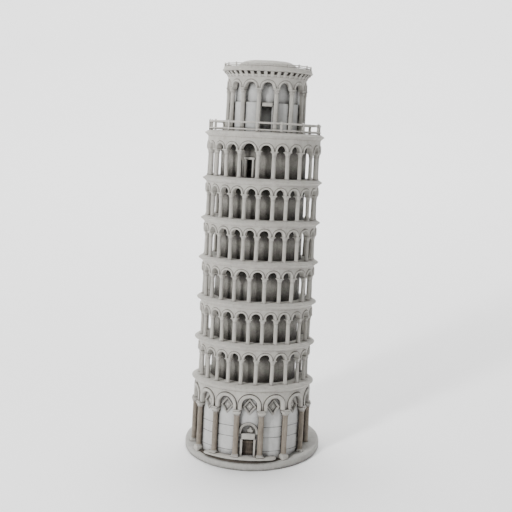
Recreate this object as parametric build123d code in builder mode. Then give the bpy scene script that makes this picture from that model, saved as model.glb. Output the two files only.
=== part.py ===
from build123d import *
from math import cos, radians, sin, tan
import os

os.makedirs("parts", exist_ok=True)

# ---------------------------------------------------------------------------------------------
# Miniature leaning bell tower on a round disc. Millimetres, +Z up, the entrance looks along -Y.
# The origin is the centre of the disc's underside. The disc is level; everything above it is
# square to an axis that leans back (+Y) and a little to the right (+X).
# ---------------------------------------------------------------------------------------------
DISC_RADIUS = 55.0
DISC_ROUNDING, DISC_CHAMFER = 1.0, 0.4
DISC_THICKNESS = 6.0
LEAN_BACK = 8.26                       # degrees, towards +Y
LEAN_RIGHT = 2.22                      # degrees, towards +X
FOOT = Vector(-2.2, -6.6, 0.8)         # the point of the leaning axis that heights start from

CORE_RADIUS = 34.0                     # plain drum behind the open galleries
SPIGOT_RADIUS, SPIGOT_CLEARANCE = 13.0, 0.1
SOCKET_DEPTH = 2.6                     # how far a spigot enters the drum above its cornice

# Cornice tips: height along the axis and radius, first storey to seventh.
CORNICE_TIPS = {
    1: (57.6, 49.4), 2: (89.5, 48.6), 3: (121.9, 48.3), 4: (153.8, 48.3),
    5: (185.5, 47.9), 6: (217.4, 47.9), 7: (253.1, 47.7),
}
CORNICE_BELOW, CORNICE_ABOVE = 2.4, 2.2    # underside and walking level, from the tip
CORNICE_LIP, CORNICE_SLOPE = 0.5, 3.1      # thickness of the tip, width of the sloped top
CORNICE_SOFFIT = 45.4                      # radius where the underside starts to slope
SPIGOT_FIT = SPIGOT_RADIUS - SPIGOT_CLEARANCE
SPIGOT_HEIGHT = CORNICE_BELOW + CORNICE_ABOVE + SOCKET_DEPTH - 0.2     # 0.2 short of the socket

# Galleries two to seven: 24 columns each. The ones in front stand where they were set by hand,
# the rest share what is left of the circle. Degrees, 0 in front, positive to the right.
GALLERY_COLUMNS = 24
FRONT_COLUMNS = {
    2: (-73, -57, -41.5, -27, -13, 2.5, 19.5, 36, 54, 71),
    3: (-68, -52.5, -37.5, -22.5, -7.5, 7, 21.5, 36.5, 53, 69),
    4: (-71, -56, -41, -25, -8.5, 7, 23, 38, 56, 72),
    5: (-63.5, -47.5, -32, -17.5, -3.5, 11.5, 26.5, 42.5, 60),
    6: (-63, -47.5, -33, -18.5, -4, 11, 25.5, 40.5, 57),
    7: (-73, -58, -42, -26, -6.5, 10, 25, 40.5, 58),
}
COLUMN_RING = 42.8
COLUMN_RADIUS, COLUMN_FOOT_RADIUS = 1.5, 2.0
ABACUS_SIZE, ABACUS_THICKNESS, CAPITAL_HEIGHT = 5.2, 0.9, 3.4
ABACUS_TOP = {2: 19.7, 3: 19.7, 4: 19.7, 5: 19.7, 6: 19.7, 7: 21.3}    # above the gallery floor
ARCADE_INNER, ARCADE_OUTER, ARCHIVOLT_OUTER = 40.6, 44.9, 45.6
ARCADE_PIER = 2.15                     # half the width of wall left over each capital
ARCH_RISE, ARCHIVOLT_WIDTH = 4.3, 1.7

# Ground storey: 15 bays of blind arcade on engaged columns.
GROUND_COLUMNS = 15
GROUND_FRONT = (-63, -38, -14.5, 10, 36, 62)
GROUND_WALL, GROUND_RING, GROUND_SHAFT = 43.0, 45.5, 2.1
GROUND_FOOT = -12.0                    # safely under the disc's top, before the level cut
GROUND_BASE_TOP, GROUND_SHAFT_TOP, GROUND_IMPOST = 5.2, 36.0, 40.4
BASE_DEPTH, BASE_WIDTH, BASE_TORUS = 5.6, 6.0, 0.9
BELL_HEIGHT, BELL_FLARE, IMPOST_SIZE = 2.6, 0.85, 6.2
GROUND_ARCADE_TOP = CORNICE_TIPS[1][0] - CORNICE_BELOW
GROUND_ARCADE_OUTER, GROUND_ARCHIVOLT = 46.2, 47.3
GROUND_ARCH_RADIUS, GROUND_ARCH_CENTRE, GROUND_ARCHIVOLT_WIDTH = 6.1, 43.5, 3.0
COURSE_LINES = (7.0, 18.0, 26.3)
COURSE_GROOVE = 0.35
LOZENGE_CENTRE, LOZENGE_HALF_HEIGHT, LOZENGE_HALF_WIDTH = 42.6, 6.6, 5.4
LOZENGE_FRAME, LOZENGE_PROUD, LOZENGE_DEPTH = 1.3, 1.1, 1.3
POCKET_HALF_WIDTH = LOZENGE_HALF_WIDTH - LOZENGE_FRAME
POCKET_HALF_HEIGHT = LOZENGE_HALF_HEIGHT - LOZENGE_FRAME
PANEL_SCALE, PANEL_THICKNESS = 0.62, 0.6

# Entrance step and portal, in the bay between the third and fourth front columns.
STEP_FROM, STEP_TO = -48.0, 27.0
STEP_BOTTOM, STEP_TOP, STEP_OUTER = 1.2, 3.0, 49.6
PLINTH_OUTER = 46.6
PORTAL_ANGLE = -2.2
DOOR_WIDTH, DOOR_BOTTOM, DOOR_TOP, DOOR_DEPTH = 8.6, 3.4, 16.8, 3.2
DOOR_LEAF, DOOR_GAP = 0.8, 0.2         # thickness of the leaf, gap round it
JAMB_WIDTH, JAMB_PROUD = 1.8, 1.0
LINTEL_OVERHANG, LINTEL_PROUD, LINTEL_TOP = 1.2, 1.5, 21.1
LUNETTE_RADIUS, HOOD_RADIUS, HOOD_SPRING, HOOD_PROUD = 5.8, 7.5, 22.4, 1.8
RELIEF_RADIUS, RELIEF_OFFSET, RELIEF_THICKNESS = 2.7, 1.7, 1.2

# Belfry and roof.
BELFRY_COLUMNS, BELFRY_PHASE = 14, 13.8
BELFRY_RING, BELFRY_SHAFT, BELFRY_CORE = 30.0, 1.75, 26.0
BELFRY_FOOT_RADIUS, BELFRY_ABACUS = 2.2, 4.7
BELFRY_FLOOR = CORNICE_TIPS[7][0] + CORNICE_ABOVE
BELFRY_SPRING, BELFRY_TOP = 288.8, 297.2
BELFRY_WALL_INNER, BELFRY_WALL_OUTER, BELFRY_ARCHIVOLT = 27.4, 31.3, 31.9
PARAPET_INNER, PARAPET_OUTER, PARAPET_TOP = 26.6, 28.1, 277.8
BELFRY_DOOR_WIDTH, BELFRY_DOOR_TOP = 7.8, 275.0
BELFRY_DOOR_SILL, BELFRY_DOOR_DEPTH = BELFRY_FLOOR + 1.5, 8.0
BELFRY_DOOR = BELFRY_PHASE - 180.0 / BELFRY_COLUMNS
BELFRY_PIER, BELFRY_ARCH_LEG, BELFRY_ARCHIVOLT_WIDTH = 2.5, 0.3, 1.7
TABLE_LIP, TABLE_LIP_TOP = 32.1, BELFRY_TOP + 1.9     # flared band under the pockets
POCKET_WALL = 31.0                     # face of the corbel table between the corbels
CORBELS, CORBEL_WIDTH, CORBEL_TOP = 40, 2.7, 301.5
CORBEL_NOSE = 34.5
ROOF_SOFFIT, ROOF_TIP_RADIUS, ROOF_RIM, ROOF_LEVEL = 34.7, 36.0, 35.2, 305.2
DOME_RADIUS, DOME_SHOULDER, DOME_TOP = 24.0, 16.0, 311.5

# Doorway out of the stair on the seventh gallery, with a smaller opening beside it.
GALLERY_DOOR, GALLERY_DOOR_WIDTH, GALLERY_DOOR_HEIGHT = -19.0, 4.6, 14.0
GALLERY_DOOR_DEPTH, GALLERY_JAMB, GALLERY_LINTEL = 5.0, 1.4, 2.0
NICHE_ANGLE, NICHE_RADIUS, NICHE_SPRING = -33, 2.2, 12.0

# Railings: ring, posts (side, height, point) and round bars (radius, heights over the floor).
TERRACE_RAIL_RING, TERRACE_FRONT = 43.9, (-104, -83, -62, -39.5, -9, 15.5, 41, 70, 97, 123)
TERRACE_POSTS = 14
TERRACE_POST, TERRACE_POST_HEIGHT, TERRACE_POINT = 1.6, 7.6, 1.0
TERRACE_BAR, TERRACE_TOP_RAIL, TERRACE_BOTTOM_RAIL = 0.75, 6.8, 1.5
ROOF_RAIL_RING, ROOF_POSTS, ROOF_PHASE = 34.2, 20, 7.4
ROOF_POST, ROOF_POST_HEIGHT, ROOF_POINT = 1.0, 2.7, 0.6
ROOF_BAR, ROOF_TOP_RAIL, ROOF_BOTTOM_RAIL = 0.4, 2.0, 0.65

# ---------------------------------------------------------------------------------------------
# The leaning frame
# ---------------------------------------------------------------------------------------------
AXIS = Vector(tan(radians(LEAN_RIGHT)), tan(radians(LEAN_BACK)), 1.0).normalized()
RIGHT = Vector(0, 1, 0).cross(AXIS).normalized()
BACK = AXIS.cross(RIGHT)
TOWER_AXIS = Axis(FOOT, AXIS)
# Holds turned profiles: x is the radius and y the height along the axis.
PROFILE = Plane(origin=FOOT, x_dir=RIGHT, z_dir=RIGHT.cross(AXIS))
DISC_TOP = Plane.XY.offset(DISC_THICKNESS)


def level(height, angle=90.0):
    """Plane square to the axis at a height; its x axis points to the angle round the tower."""
    towards = RIGHT * sin(radians(angle)) - BACK * cos(radians(angle))
    return Plane(origin=FOOT + AXIS * height, x_dir=towards, z_dir=AXIS)


def facing(angle, height=0.0, distance=0.0):
    """Plane that looks outwards at an angle round the tower: x is level, y runs up the axis."""
    out = level(height, angle).x_dir
    return Plane(origin=FOOT + AXIS * height + out * distance, x_dir=AXIS.cross(out), z_dir=out)


def whole_circle(front, count):
    """Angles of a ring: the given ones in front, the others shared evenly over the rest."""
    rest = count - len(front)
    pitch = (360.0 - (front[-1] - front[0])) / (rest + 1)
    return list(front) + [front[-1] + pitch * (i + 1) for i in range(rest)]


def bays(angles):
    """Middle angle and width in degrees of each bay between neighbouring columns."""
    ends = angles[1:] + [angles[0] + 360.0]
    return [((a + b) / 2, b - a) for a, b in zip(angles, ends)]


def keep(part, name):
    """Labels a finished piece and writes its file."""
    part.label = name
    export_step(part, f"parts/{name}.step")


def column(foot, top, radius, foot_radius, abacus, abacus_thickness, capital):
    """One column along +Z with its foot on Z = 0: base, shaft, bell capital and square abacus."""
    height = top - foot
    bell = height - capital
    with BuildPart() as piece:
        with BuildSketch(Plane.XZ):
            with BuildLine():
                Polyline((0, 0), (foot_radius, 0), (foot_radius, 0.5), (radius * 1.08, 1.3),
                         (radius, 2.2), (radius * 0.95, bell - 0.5), (radius * 1.2, bell - 0.4),
                         (radius * 1.2, bell), (radius, bell + 0.1),
                         (abacus * 0.44, height - abacus_thickness), (0, height - abacus_thickness),
                         close=True)
            make_face()
        revolve(axis=Axis.Z)
        with BuildSketch(Plane.XY.offset(height - abacus_thickness)):
            Rectangle(abacus, abacus)
        extrude(amount=abacus_thickness)
    return piece.part


def standing(angle, radius, height):
    """Place on a ring round the tower for an upright piece, facing outwards."""
    return level(height, angle).location * Location((radius, 0, 0))


def arch(radius, centre, bottom):
    """Round-headed outline on legs: half width, height of the arch's centre, foot of the legs."""
    with BuildSketch(Plane.XY, mode=Mode.PRIVATE) as outline:
        with BuildLine():
            Polyline((-radius, centre), (-radius, bottom), (radius, bottom), (radius, centre))
            ThreePointArc((radius, centre), (0, centre + radius), (-radius, centre))
        make_face()
    return outline.sketch


def diamond(half_width, half_height):
    """Upright lozenge outline about the sketch's origin."""
    with BuildSketch(Plane.XY, mode=Mode.PRIVATE) as outline:
        with BuildLine():
            Polyline((half_width, 0), (0, half_height), (-half_width, 0), (0, -half_height),
                     close=True)
        make_face()
    return outline.sketch


# ---------------------------------------------------------------------------------------------
# Disc, plinth and step
# ---------------------------------------------------------------------------------------------
with BuildPart() as base_disc:
    with BuildSketch():
        Circle(DISC_RADIUS)
    extrude(amount=DISC_THICKNESS)
    fillet(base_disc.edges().group_by(Axis.Z)[-1], radius=DISC_ROUNDING)
    chamfer(base_disc.edges().group_by(Axis.Z)[0], length=DISC_CHAMFER)
keep(base_disc.part, "base_disc")

with BuildPart() as entrance_step:
    with BuildSketch(level(STEP_BOTTOM, 0)):
        with BuildLine():
            first, last = radians(STEP_FROM), radians(STEP_TO)
            middle = (first + last) / 2
            outer = [(STEP_OUTER * cos(t), STEP_OUTER * sin(t)) for t in (first, middle, last)]
            inner = [(GROUND_WALL * cos(t), GROUND_WALL * sin(t)) for t in (first, middle, last)]
            ThreePointArc(*outer)
            Line(outer[2], inner[2])
            ThreePointArc(*reversed(inner))
            Line(inner[0], outer[0])
        make_face()
    extrude(amount=STEP_TOP - STEP_BOTTOM)
    rounds = entrance_step.edges().filter_by(GeomType.CIRCLE)
    front_arcs = rounds.filter_by(lambda e: e.radius > STEP_OUTER - 1)
    chamfer(front_arcs.sort_by(TOWER_AXIS)[-1], length=0.5)
keep(entrance_step.part, "entrance_step")

# ---------------------------------------------------------------------------------------------
# Ground storey
# ---------------------------------------------------------------------------------------------
ground_angles = whole_circle(GROUND_FRONT, GROUND_COLUMNS)
ground_bays = bays(ground_angles)

# Solid drum with engraved courses, a spigot on top, a lozenge pocket in every bay and the
# recessed doorway with its lunette.
with BuildPart() as ground_drum:
    with BuildSketch(PROFILE):
        with BuildLine():
            corners = [(0, GROUND_FOOT), (GROUND_WALL, GROUND_FOOT)]
            for course in COURSE_LINES:
                corners += [(GROUND_WALL, course - COURSE_GROOVE),
                            (GROUND_WALL - COURSE_GROOVE, course),
                            (GROUND_WALL, course + COURSE_GROOVE)]
            corners += [(GROUND_WALL, GROUND_ARCADE_TOP), (SPIGOT_FIT, GROUND_ARCADE_TOP),
                        (SPIGOT_FIT, GROUND_ARCADE_TOP + SPIGOT_HEIGHT),
                        (0, GROUND_ARCADE_TOP + SPIGOT_HEIGHT)]
            Polyline(*corners, close=True)
        make_face()
    revolve(axis=TOWER_AXIS)
    split(bisect_by=DISC_TOP, keep=Keep.TOP)
    pockets = [facing(a, LOZENGE_CENTRE, GROUND_WALL - LOZENGE_DEPTH) for a, w in ground_bays]
    with BuildSketch(*pockets):
        add(diamond(POCKET_HALF_WIDTH, POCKET_HALF_HEIGHT))
    extrude(amount=LOZENGE_DEPTH + 2, mode=Mode.SUBTRACT)
    with BuildSketch(facing(PORTAL_ANGLE, 0, GROUND_WALL - DOOR_DEPTH)):
        with Locations((0, (DOOR_BOTTOM + DOOR_TOP) / 2)):
            Rectangle(DOOR_WIDTH, DOOR_TOP - DOOR_BOTTOM)
        add(arch(LUNETTE_RADIUS, HOOD_SPRING, LINTEL_TOP))
    extrude(amount=DOOR_DEPTH + 2, mode=Mode.SUBTRACT)
keep(ground_drum.part, "ground_drum")

# Low round plinth about the drum, cut level where it stands on the disc.
with BuildPart() as plinth:
    with BuildSketch(level(GROUND_FOOT)):
        Circle(PLINTH_OUTER)
        Circle(GROUND_WALL, mode=Mode.SUBTRACT)
    extrude(amount=STEP_BOTTOM - GROUND_FOOT)
    split(bisect_by=DISC_TOP, keep=Keep.TOP)
keep(plinth.part, "plinth")

# Square moulded bases: on the step in front, on the plinth or the disc elsewhere.
with BuildPart() as ground_bases:
    for angle in ground_angles:
        on_step = STEP_FROM < angle < STEP_TO
        bottom = STEP_TOP if on_step else STEP_BOTTOM
        with BuildSketch(level(bottom, angle)):
            with Locations((GROUND_RING + 0.3, 0)):
                Rectangle(BASE_DEPTH, BASE_WIDTH)
        extrude(amount=GROUND_BASE_TOP - BASE_TORUS - bottom)
        with BuildSketch(level(GROUND_BASE_TOP - BASE_TORUS, angle)):
            with Locations((GROUND_RING, 0)):
                Circle(GROUND_SHAFT + 0.6)
        extrude(amount=BASE_TORUS)
    with BuildSketch(level(GROUND_FOOT)):
        Circle(GROUND_WALL)
    extrude(amount=40, mode=Mode.SUBTRACT)
    with BuildSketch(DISC_TOP):
        Circle(2 * DISC_RADIUS)
    extrude(amount=-30, mode=Mode.SUBTRACT)
keep(ground_bases.part, "ground_column_bases")

# Round shafts that touch the wall; the ones behind run straight into the disc.
with BuildPart() as ground_shafts:
    with BuildSketch(level(GROUND_BASE_TOP)):
        for angle in ground_angles:
            with PolarLocations(GROUND_RING, 1, start_angle=angle - 90):
                Circle(GROUND_SHAFT)
    extrude(amount=GROUND_SHAFT_TOP - GROUND_BASE_TOP)
    split(bisect_by=DISC_TOP, keep=Keep.TOP)
keep(ground_shafts.part, "ground_column_shafts")

# Bell capitals under square impost blocks.
with BuildPart() as ground_capital:
    with BuildSketch():
        Circle(GROUND_SHAFT)
    with BuildSketch(Plane.XY.offset(BELL_HEIGHT)):
        Circle(GROUND_SHAFT + BELL_FLARE)
    loft()
    with BuildSketch(Plane.XY.offset(BELL_HEIGHT)):
        Rectangle(IMPOST_SIZE, IMPOST_SIZE)
    extrude(amount=GROUND_IMPOST - GROUND_SHAFT_TOP - BELL_HEIGHT)
    fillet(ground_capital.edges().filter_by(Axis.Z), radius=0.5)
with BuildPart() as ground_capitals:
    for angle in ground_angles:
        add(standing(angle, GROUND_RING, GROUND_SHAFT_TOP) * ground_capital.part)
    with BuildSketch(level(GROUND_SHAFT_TOP - 1)):
        Circle(GROUND_WALL)
    extrude(amount=10, mode=Mode.SUBTRACT)
keep(ground_capitals.part, "ground_column_capitals")

# Blind arcade: a ring over the imposts with one tall round arch in each bay.
with BuildPart() as ground_arcade:
    with BuildSketch(level(GROUND_IMPOST)):
        Circle(GROUND_ARCHIVOLT)
        Circle(GROUND_WALL, mode=Mode.SUBTRACT)
    extrude(amount=GROUND_ARCADE_TOP - GROUND_IMPOST)
    with BuildSketch(*[facing(a, 0, GROUND_ARCADE_OUTER - 1.0) for a, w in ground_bays]):
        add(arch(GROUND_ARCH_RADIUS + GROUND_ARCHIVOLT_WIDTH, GROUND_ARCH_CENTRE, GROUND_IMPOST - 1))
    extrude(amount=5, mode=Mode.INTERSECT)
    with BuildSketch(level(GROUND_IMPOST)):
        Circle(GROUND_ARCADE_OUTER)
        Circle(GROUND_WALL, mode=Mode.SUBTRACT)
    extrude(amount=GROUND_ARCADE_TOP - GROUND_IMPOST)
    with BuildSketch(*[facing(a, 0, GROUND_WALL - 0.7) for a, w in ground_bays]):
        add(arch(GROUND_ARCH_RADIUS, GROUND_ARCH_CENTRE, GROUND_IMPOST - 1))
    extrude(amount=7, mode=Mode.SUBTRACT)
keep(ground_arcade.part, "ground_arcade")

# Diamond frames planted on the wall, and the stepped panel at the bottom of each pocket.
with BuildPart() as lozenge_frames:
    with BuildSketch(*[facing(a, LOZENGE_CENTRE, GROUND_WALL - 1) for a, w in ground_bays]):
        add(diamond(LOZENGE_HALF_WIDTH, LOZENGE_HALF_HEIGHT))
        add(diamond(POCKET_HALF_WIDTH, POCKET_HALF_HEIGHT), mode=Mode.SUBTRACT)
    extrude(amount=1 + LOZENGE_PROUD)
    with BuildSketch(level(LOZENGE_CENTRE - 10)):
        Circle(GROUND_WALL)
    extrude(amount=20, mode=Mode.SUBTRACT)
keep(lozenge_frames.part, "lozenge_frames")

with BuildPart() as lozenge_panels:
    pocket_floor = GROUND_WALL - LOZENGE_DEPTH
    with BuildSketch(*[facing(a, LOZENGE_CENTRE, pocket_floor) for a, w in ground_bays]):
        add(diamond(POCKET_HALF_WIDTH * PANEL_SCALE, POCKET_HALF_HEIGHT * PANEL_SCALE))
    extrude(amount=PANEL_THICKNESS)
keep(lozenge_panels.part, "lozenge_panels")

# Portal: door leaf at the back of the recess, jambs, lintel and hood.
with BuildPart() as portal_door:
    with BuildSketch(facing(PORTAL_ANGLE, 0, GROUND_WALL - DOOR_DEPTH)):
        with Locations((0, (DOOR_BOTTOM + DOOR_TOP) / 2)):
            Rectangle(DOOR_WIDTH - 2 * DOOR_GAP, DOOR_TOP - DOOR_BOTTOM - 2 * DOOR_GAP)
    extrude(amount=DOOR_LEAF)
keep(portal_door.part, "portal_door")

with BuildPart() as portal_jambs:
    with BuildSketch(facing(PORTAL_ANGLE, 0, GROUND_WALL - 1)):
        jamb = (DOOR_WIDTH + JAMB_WIDTH) / 2
        with Locations((-jamb, (STEP_TOP + DOOR_TOP) / 2), (jamb, (STEP_TOP + DOOR_TOP) / 2)):
            Rectangle(JAMB_WIDTH, DOOR_TOP - STEP_TOP)
    extrude(amount=1 + JAMB_PROUD)
    with BuildSketch(level(STEP_TOP)):
        Circle(GROUND_WALL)
    extrude(amount=20, mode=Mode.SUBTRACT)
keep(portal_jambs.part, "portal_jambs")

with BuildPart() as portal_lintel:
    with BuildSketch(facing(PORTAL_ANGLE, 0, GROUND_WALL - 1)):
        with Locations((0, (DOOR_TOP + LINTEL_TOP) / 2)):
            Rectangle(DOOR_WIDTH + 2 * LINTEL_OVERHANG, LINTEL_TOP - DOOR_TOP)
    extrude(amount=1 + LINTEL_PROUD)
    with BuildSketch(level(DOOR_TOP - 1)):
        Circle(GROUND_WALL)
    extrude(amount=8, mode=Mode.SUBTRACT)
keep(portal_lintel.part, "portal_lintel")

with BuildPart() as portal_hood:
    with BuildSketch(facing(PORTAL_ANGLE, 0, GROUND_WALL - 1)):
        add(arch(HOOD_RADIUS, HOOD_SPRING, LINTEL_TOP))
        add(arch(LUNETTE_RADIUS, HOOD_SPRING, LINTEL_TOP - 1), mode=Mode.SUBTRACT)
    extrude(amount=1 + HOOD_PROUD)
    with BuildSketch(level(LINTEL_TOP - 2)):
        Circle(GROUND_WALL)
    extrude(amount=16, mode=Mode.SUBTRACT)
keep(portal_hood.part, "portal_hood")

# Worn relief on the back wall of the lunette, off the middle.
with BuildPart() as portal_relief:
    with BuildSketch(facing(PORTAL_ANGLE, 0, GROUND_WALL - DOOR_DEPTH)):
        with Locations((RELIEF_OFFSET, 0)):
            add(arch(RELIEF_RADIUS, HOOD_SPRING + 1, LINTEL_TOP))
    extrude(amount=RELIEF_THICKNESS)
    front_faces = portal_relief.faces().sort_by(Axis(FOOT, level(0, PORTAL_ANGLE).x_dir))
    chamfer(front_faces[-1].edges(), length=0.5)
keep(portal_relief.part, "portal_relief")

# ---------------------------------------------------------------------------------------------
# Cornices, which are also the gallery floors
# ---------------------------------------------------------------------------------------------
for storey, (tip, radius) in CORNICE_TIPS.items():
    under, walk = tip - CORNICE_BELOW, tip + CORNICE_ABOVE
    outline = [(SPIGOT_RADIUS, under), (CORNICE_SOFFIT, under), (CORNICE_SOFFIT + 0.5, under + 0.7),
               (radius, tip - CORNICE_LIP / 2), (radius, tip + CORNICE_LIP / 2),
               (radius - CORNICE_SLOPE, walk), (SPIGOT_RADIUS, walk)]
    if storey == 1:
        outline[1:3] = [(GROUND_ARCHIVOLT, under), (GROUND_ARCHIVOLT + 0.3, under + 0.5)]
    with BuildPart() as cornice:
        with BuildSketch(PROFILE):
            with BuildLine():
                Polyline(*outline, close=True)
            make_face()
        revolve(axis=TOWER_AXIS)
    keep(cornice.part, f"cornice_{storey}")

# ---------------------------------------------------------------------------------------------
# Galleries two to seven: drum, columns, arcade
# ---------------------------------------------------------------------------------------------
for storey, front in FRONT_COLUMNS.items():
    floor = CORNICE_TIPS[storey - 1][0] + CORNICE_ABOVE
    ceiling = CORNICE_TIPS[storey][0] - CORNICE_BELOW
    spring = floor + ABACUS_TOP[storey]
    angles = whole_circle(front, GALLERY_COLUMNS)

    with BuildPart() as drum:
        with BuildSketch(PROFILE):
            with BuildLine():
                Polyline((0, floor + SOCKET_DEPTH), (SPIGOT_RADIUS, floor + SOCKET_DEPTH),
                         (SPIGOT_RADIUS, floor), (CORE_RADIUS, floor), (CORE_RADIUS, ceiling),
                         (SPIGOT_FIT, ceiling), (SPIGOT_FIT, ceiling + SPIGOT_HEIGHT),
                         (0, ceiling + SPIGOT_HEIGHT), close=True)
            make_face()
        revolve(axis=TOWER_AXIS)
        if storey == 7:
            recess = CORE_RADIUS - GALLERY_DOOR_DEPTH
            with BuildSketch(facing(GALLERY_DOOR, floor, recess)):
                with Locations((0, GALLERY_DOOR_HEIGHT / 2)):
                    Rectangle(GALLERY_DOOR_WIDTH, GALLERY_DOOR_HEIGHT)
            extrude(amount=GALLERY_DOOR_DEPTH + 2, mode=Mode.SUBTRACT)
            with BuildSketch(facing(NICHE_ANGLE, floor, recess)):
                add(arch(NICHE_RADIUS, NICHE_SPRING, 0.0))
            extrude(amount=GALLERY_DOOR_DEPTH + 2, mode=Mode.SUBTRACT)
    keep(drum.part, f"gallery_{storey}_drum")

    shaft = column(floor, spring, COLUMN_RADIUS, COLUMN_FOOT_RADIUS, ABACUS_SIZE,
                   ABACUS_THICKNESS, CAPITAL_HEIGHT)
    with BuildPart() as columns:
        for angle in angles:
            add(standing(angle, COLUMN_RING, floor) * shaft)
    keep(columns.part, f"gallery_{storey}_columns")

    with BuildPart() as arcade:
        with BuildSketch(level(spring)):
            Circle(ARCHIVOLT_OUTER)
            Circle(ARCADE_INNER, mode=Mode.SUBTRACT)
        extrude(amount=ceiling - spring)
        openings = []
        for angle, width in bays(angles):
            radius = COLUMN_RING * sin(radians(width / 2)) - ARCADE_PIER
            openings.append((angle, radius, spring + max(ARCH_RISE - radius, 0.1)))
        for angle, radius, centre in openings:
            with BuildSketch(facing(angle, 0, ARCADE_OUTER - 1.5)):
                add(arch(radius + ARCHIVOLT_WIDTH, centre, spring - 1))
        extrude(amount=5, mode=Mode.INTERSECT)
        with BuildSketch(level(spring)):
            Circle(ARCADE_OUTER)
            Circle(ARCADE_INNER, mode=Mode.SUBTRACT)
        extrude(amount=ceiling - spring)
        for angle, radius, centre in openings:
            with BuildSketch(facing(angle, 0, ARCADE_INNER - 0.5)):
                add(arch(radius, centre, spring - 1))
        extrude(amount=8, mode=Mode.SUBTRACT)
    keep(arcade.part, f"gallery_{storey}_arcade")

# Frame of the small doorway on the seventh gallery.
floor_7 = CORNICE_TIPS[6][0] + CORNICE_ABOVE
with BuildPart() as gallery_door:
    with BuildSketch(facing(GALLERY_DOOR, floor_7, CORE_RADIUS - 1)):
        jamb = (GALLERY_DOOR_WIDTH + GALLERY_JAMB) / 2
        with Locations((-jamb, GALLERY_DOOR_HEIGHT / 2), (jamb, GALLERY_DOOR_HEIGHT / 2)):
            Rectangle(GALLERY_JAMB, GALLERY_DOOR_HEIGHT)
        with Locations((0, GALLERY_DOOR_HEIGHT + GALLERY_LINTEL / 2)):
            Rectangle(GALLERY_DOOR_WIDTH + 4.0, GALLERY_LINTEL)
    extrude(amount=2.0)
    with BuildSketch(level(floor_7)):
        Circle(CORE_RADIUS)
    extrude(amount=20, mode=Mode.SUBTRACT)
keep(gallery_door.part, "gallery_7_doorway")

# ---------------------------------------------------------------------------------------------
# Terrace railing
# ---------------------------------------------------------------------------------------------
terrace_angles = whole_circle(TERRACE_FRONT, TERRACE_POSTS)


def pointed_post(size, height, point):
    """Square post along +Z with a low pyramid on top."""
    with BuildPart() as piece:
        with BuildSketch():
            Rectangle(size, size)
        extrude(amount=height)
        with BuildSketch(Plane.XY.offset(height)):
            Rectangle(size, size)
        extrude(amount=point, taper=25)
    return piece.part


terrace_post = pointed_post(TERRACE_POST, TERRACE_POST_HEIGHT, TERRACE_POINT)
with BuildPart() as terrace_posts:
    for angle in terrace_angles:
        add(standing(angle, TERRACE_RAIL_RING, BELFRY_FLOOR) * terrace_post)
keep(terrace_posts.part, "terrace_rail_posts")

# Each rail is a row of round bars, let in between the posts.
terrace_bars = (("terrace_top_rail", TERRACE_TOP_RAIL), ("terrace_bottom_rail", TERRACE_BOTTOM_RAIL))
for name, height in terrace_bars:
    with BuildPart() as rail:
        with BuildSketch(PROFILE):
            with Locations((TERRACE_RAIL_RING, BELFRY_FLOOR + height)):
                Circle(TERRACE_BAR)
        revolve(axis=TOWER_AXIS)
        for angle in terrace_angles:
            with BuildSketch(level(BELFRY_FLOOR, angle)):
                with Locations((TERRACE_RAIL_RING, 0)):
                    Rectangle(TERRACE_POST, TERRACE_POST)
        extrude(amount=TERRACE_POST_HEIGHT, mode=Mode.SUBTRACT)
    keep(rail.part, name)

# ---------------------------------------------------------------------------------------------
# Belfry
# ---------------------------------------------------------------------------------------------
belfry_angles = [BELFRY_PHASE + 360.0 / BELFRY_COLUMNS * i for i in range(BELFRY_COLUMNS)]

with BuildPart() as belfry_core:
    with BuildSketch(PROFILE):
        with BuildLine():
            Polyline((0, BELFRY_FLOOR + SOCKET_DEPTH), (SPIGOT_RADIUS, BELFRY_FLOOR + SOCKET_DEPTH),
                     (SPIGOT_RADIUS, BELFRY_FLOOR), (BELFRY_CORE, BELFRY_FLOOR),
                     (BELFRY_CORE, CORBEL_TOP), (0, CORBEL_TOP), close=True)
        make_face()
    revolve(axis=TOWER_AXIS)
    with BuildSketch(facing(BELFRY_DOOR, 0, BELFRY_CORE - BELFRY_DOOR_DEPTH)):
        with Locations((0, (BELFRY_DOOR_SILL + BELFRY_DOOR_TOP) / 2)):
            Rectangle(BELFRY_DOOR_WIDTH, BELFRY_DOOR_TOP - BELFRY_DOOR_SILL)
    extrude(amount=BELFRY_DOOR_DEPTH + 2, mode=Mode.SUBTRACT)
keep(belfry_core.part, "belfry_core")

# Low wall behind the columns, open at the door.
with BuildPart() as belfry_parapet:
    with BuildSketch(level(BELFRY_FLOOR)):
        Circle(PARAPET_OUTER)
        Circle(PARAPET_INNER, mode=Mode.SUBTRACT)
    extrude(amount=PARAPET_TOP - BELFRY_FLOOR)
    with BuildSketch(facing(BELFRY_DOOR, 0, BELFRY_CORE)):
        with Locations((0, (BELFRY_DOOR_SILL + BELFRY_DOOR_TOP) / 2)):
            Rectangle(BELFRY_DOOR_WIDTH, BELFRY_DOOR_TOP - BELFRY_DOOR_SILL)
    extrude(amount=6, mode=Mode.SUBTRACT)
keep(belfry_parapet.part, "belfry_parapet")

with BuildPart() as belfry_lintel:
    with BuildSketch(facing(BELFRY_DOOR, 0, PARAPET_OUTER - 1)):
        with Locations((0, (BELFRY_DOOR_TOP + PARAPET_TOP) / 2)):
            Rectangle(BELFRY_DOOR_WIDTH, PARAPET_TOP - BELFRY_DOOR_TOP)
    extrude(amount=1.8)
    with BuildSketch(level(BELFRY_DOOR_TOP - 1)):
        Circle(PARAPET_OUTER)
    extrude(amount=5, mode=Mode.SUBTRACT)
keep(belfry_lintel.part, "belfry_door_lintel")

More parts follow.
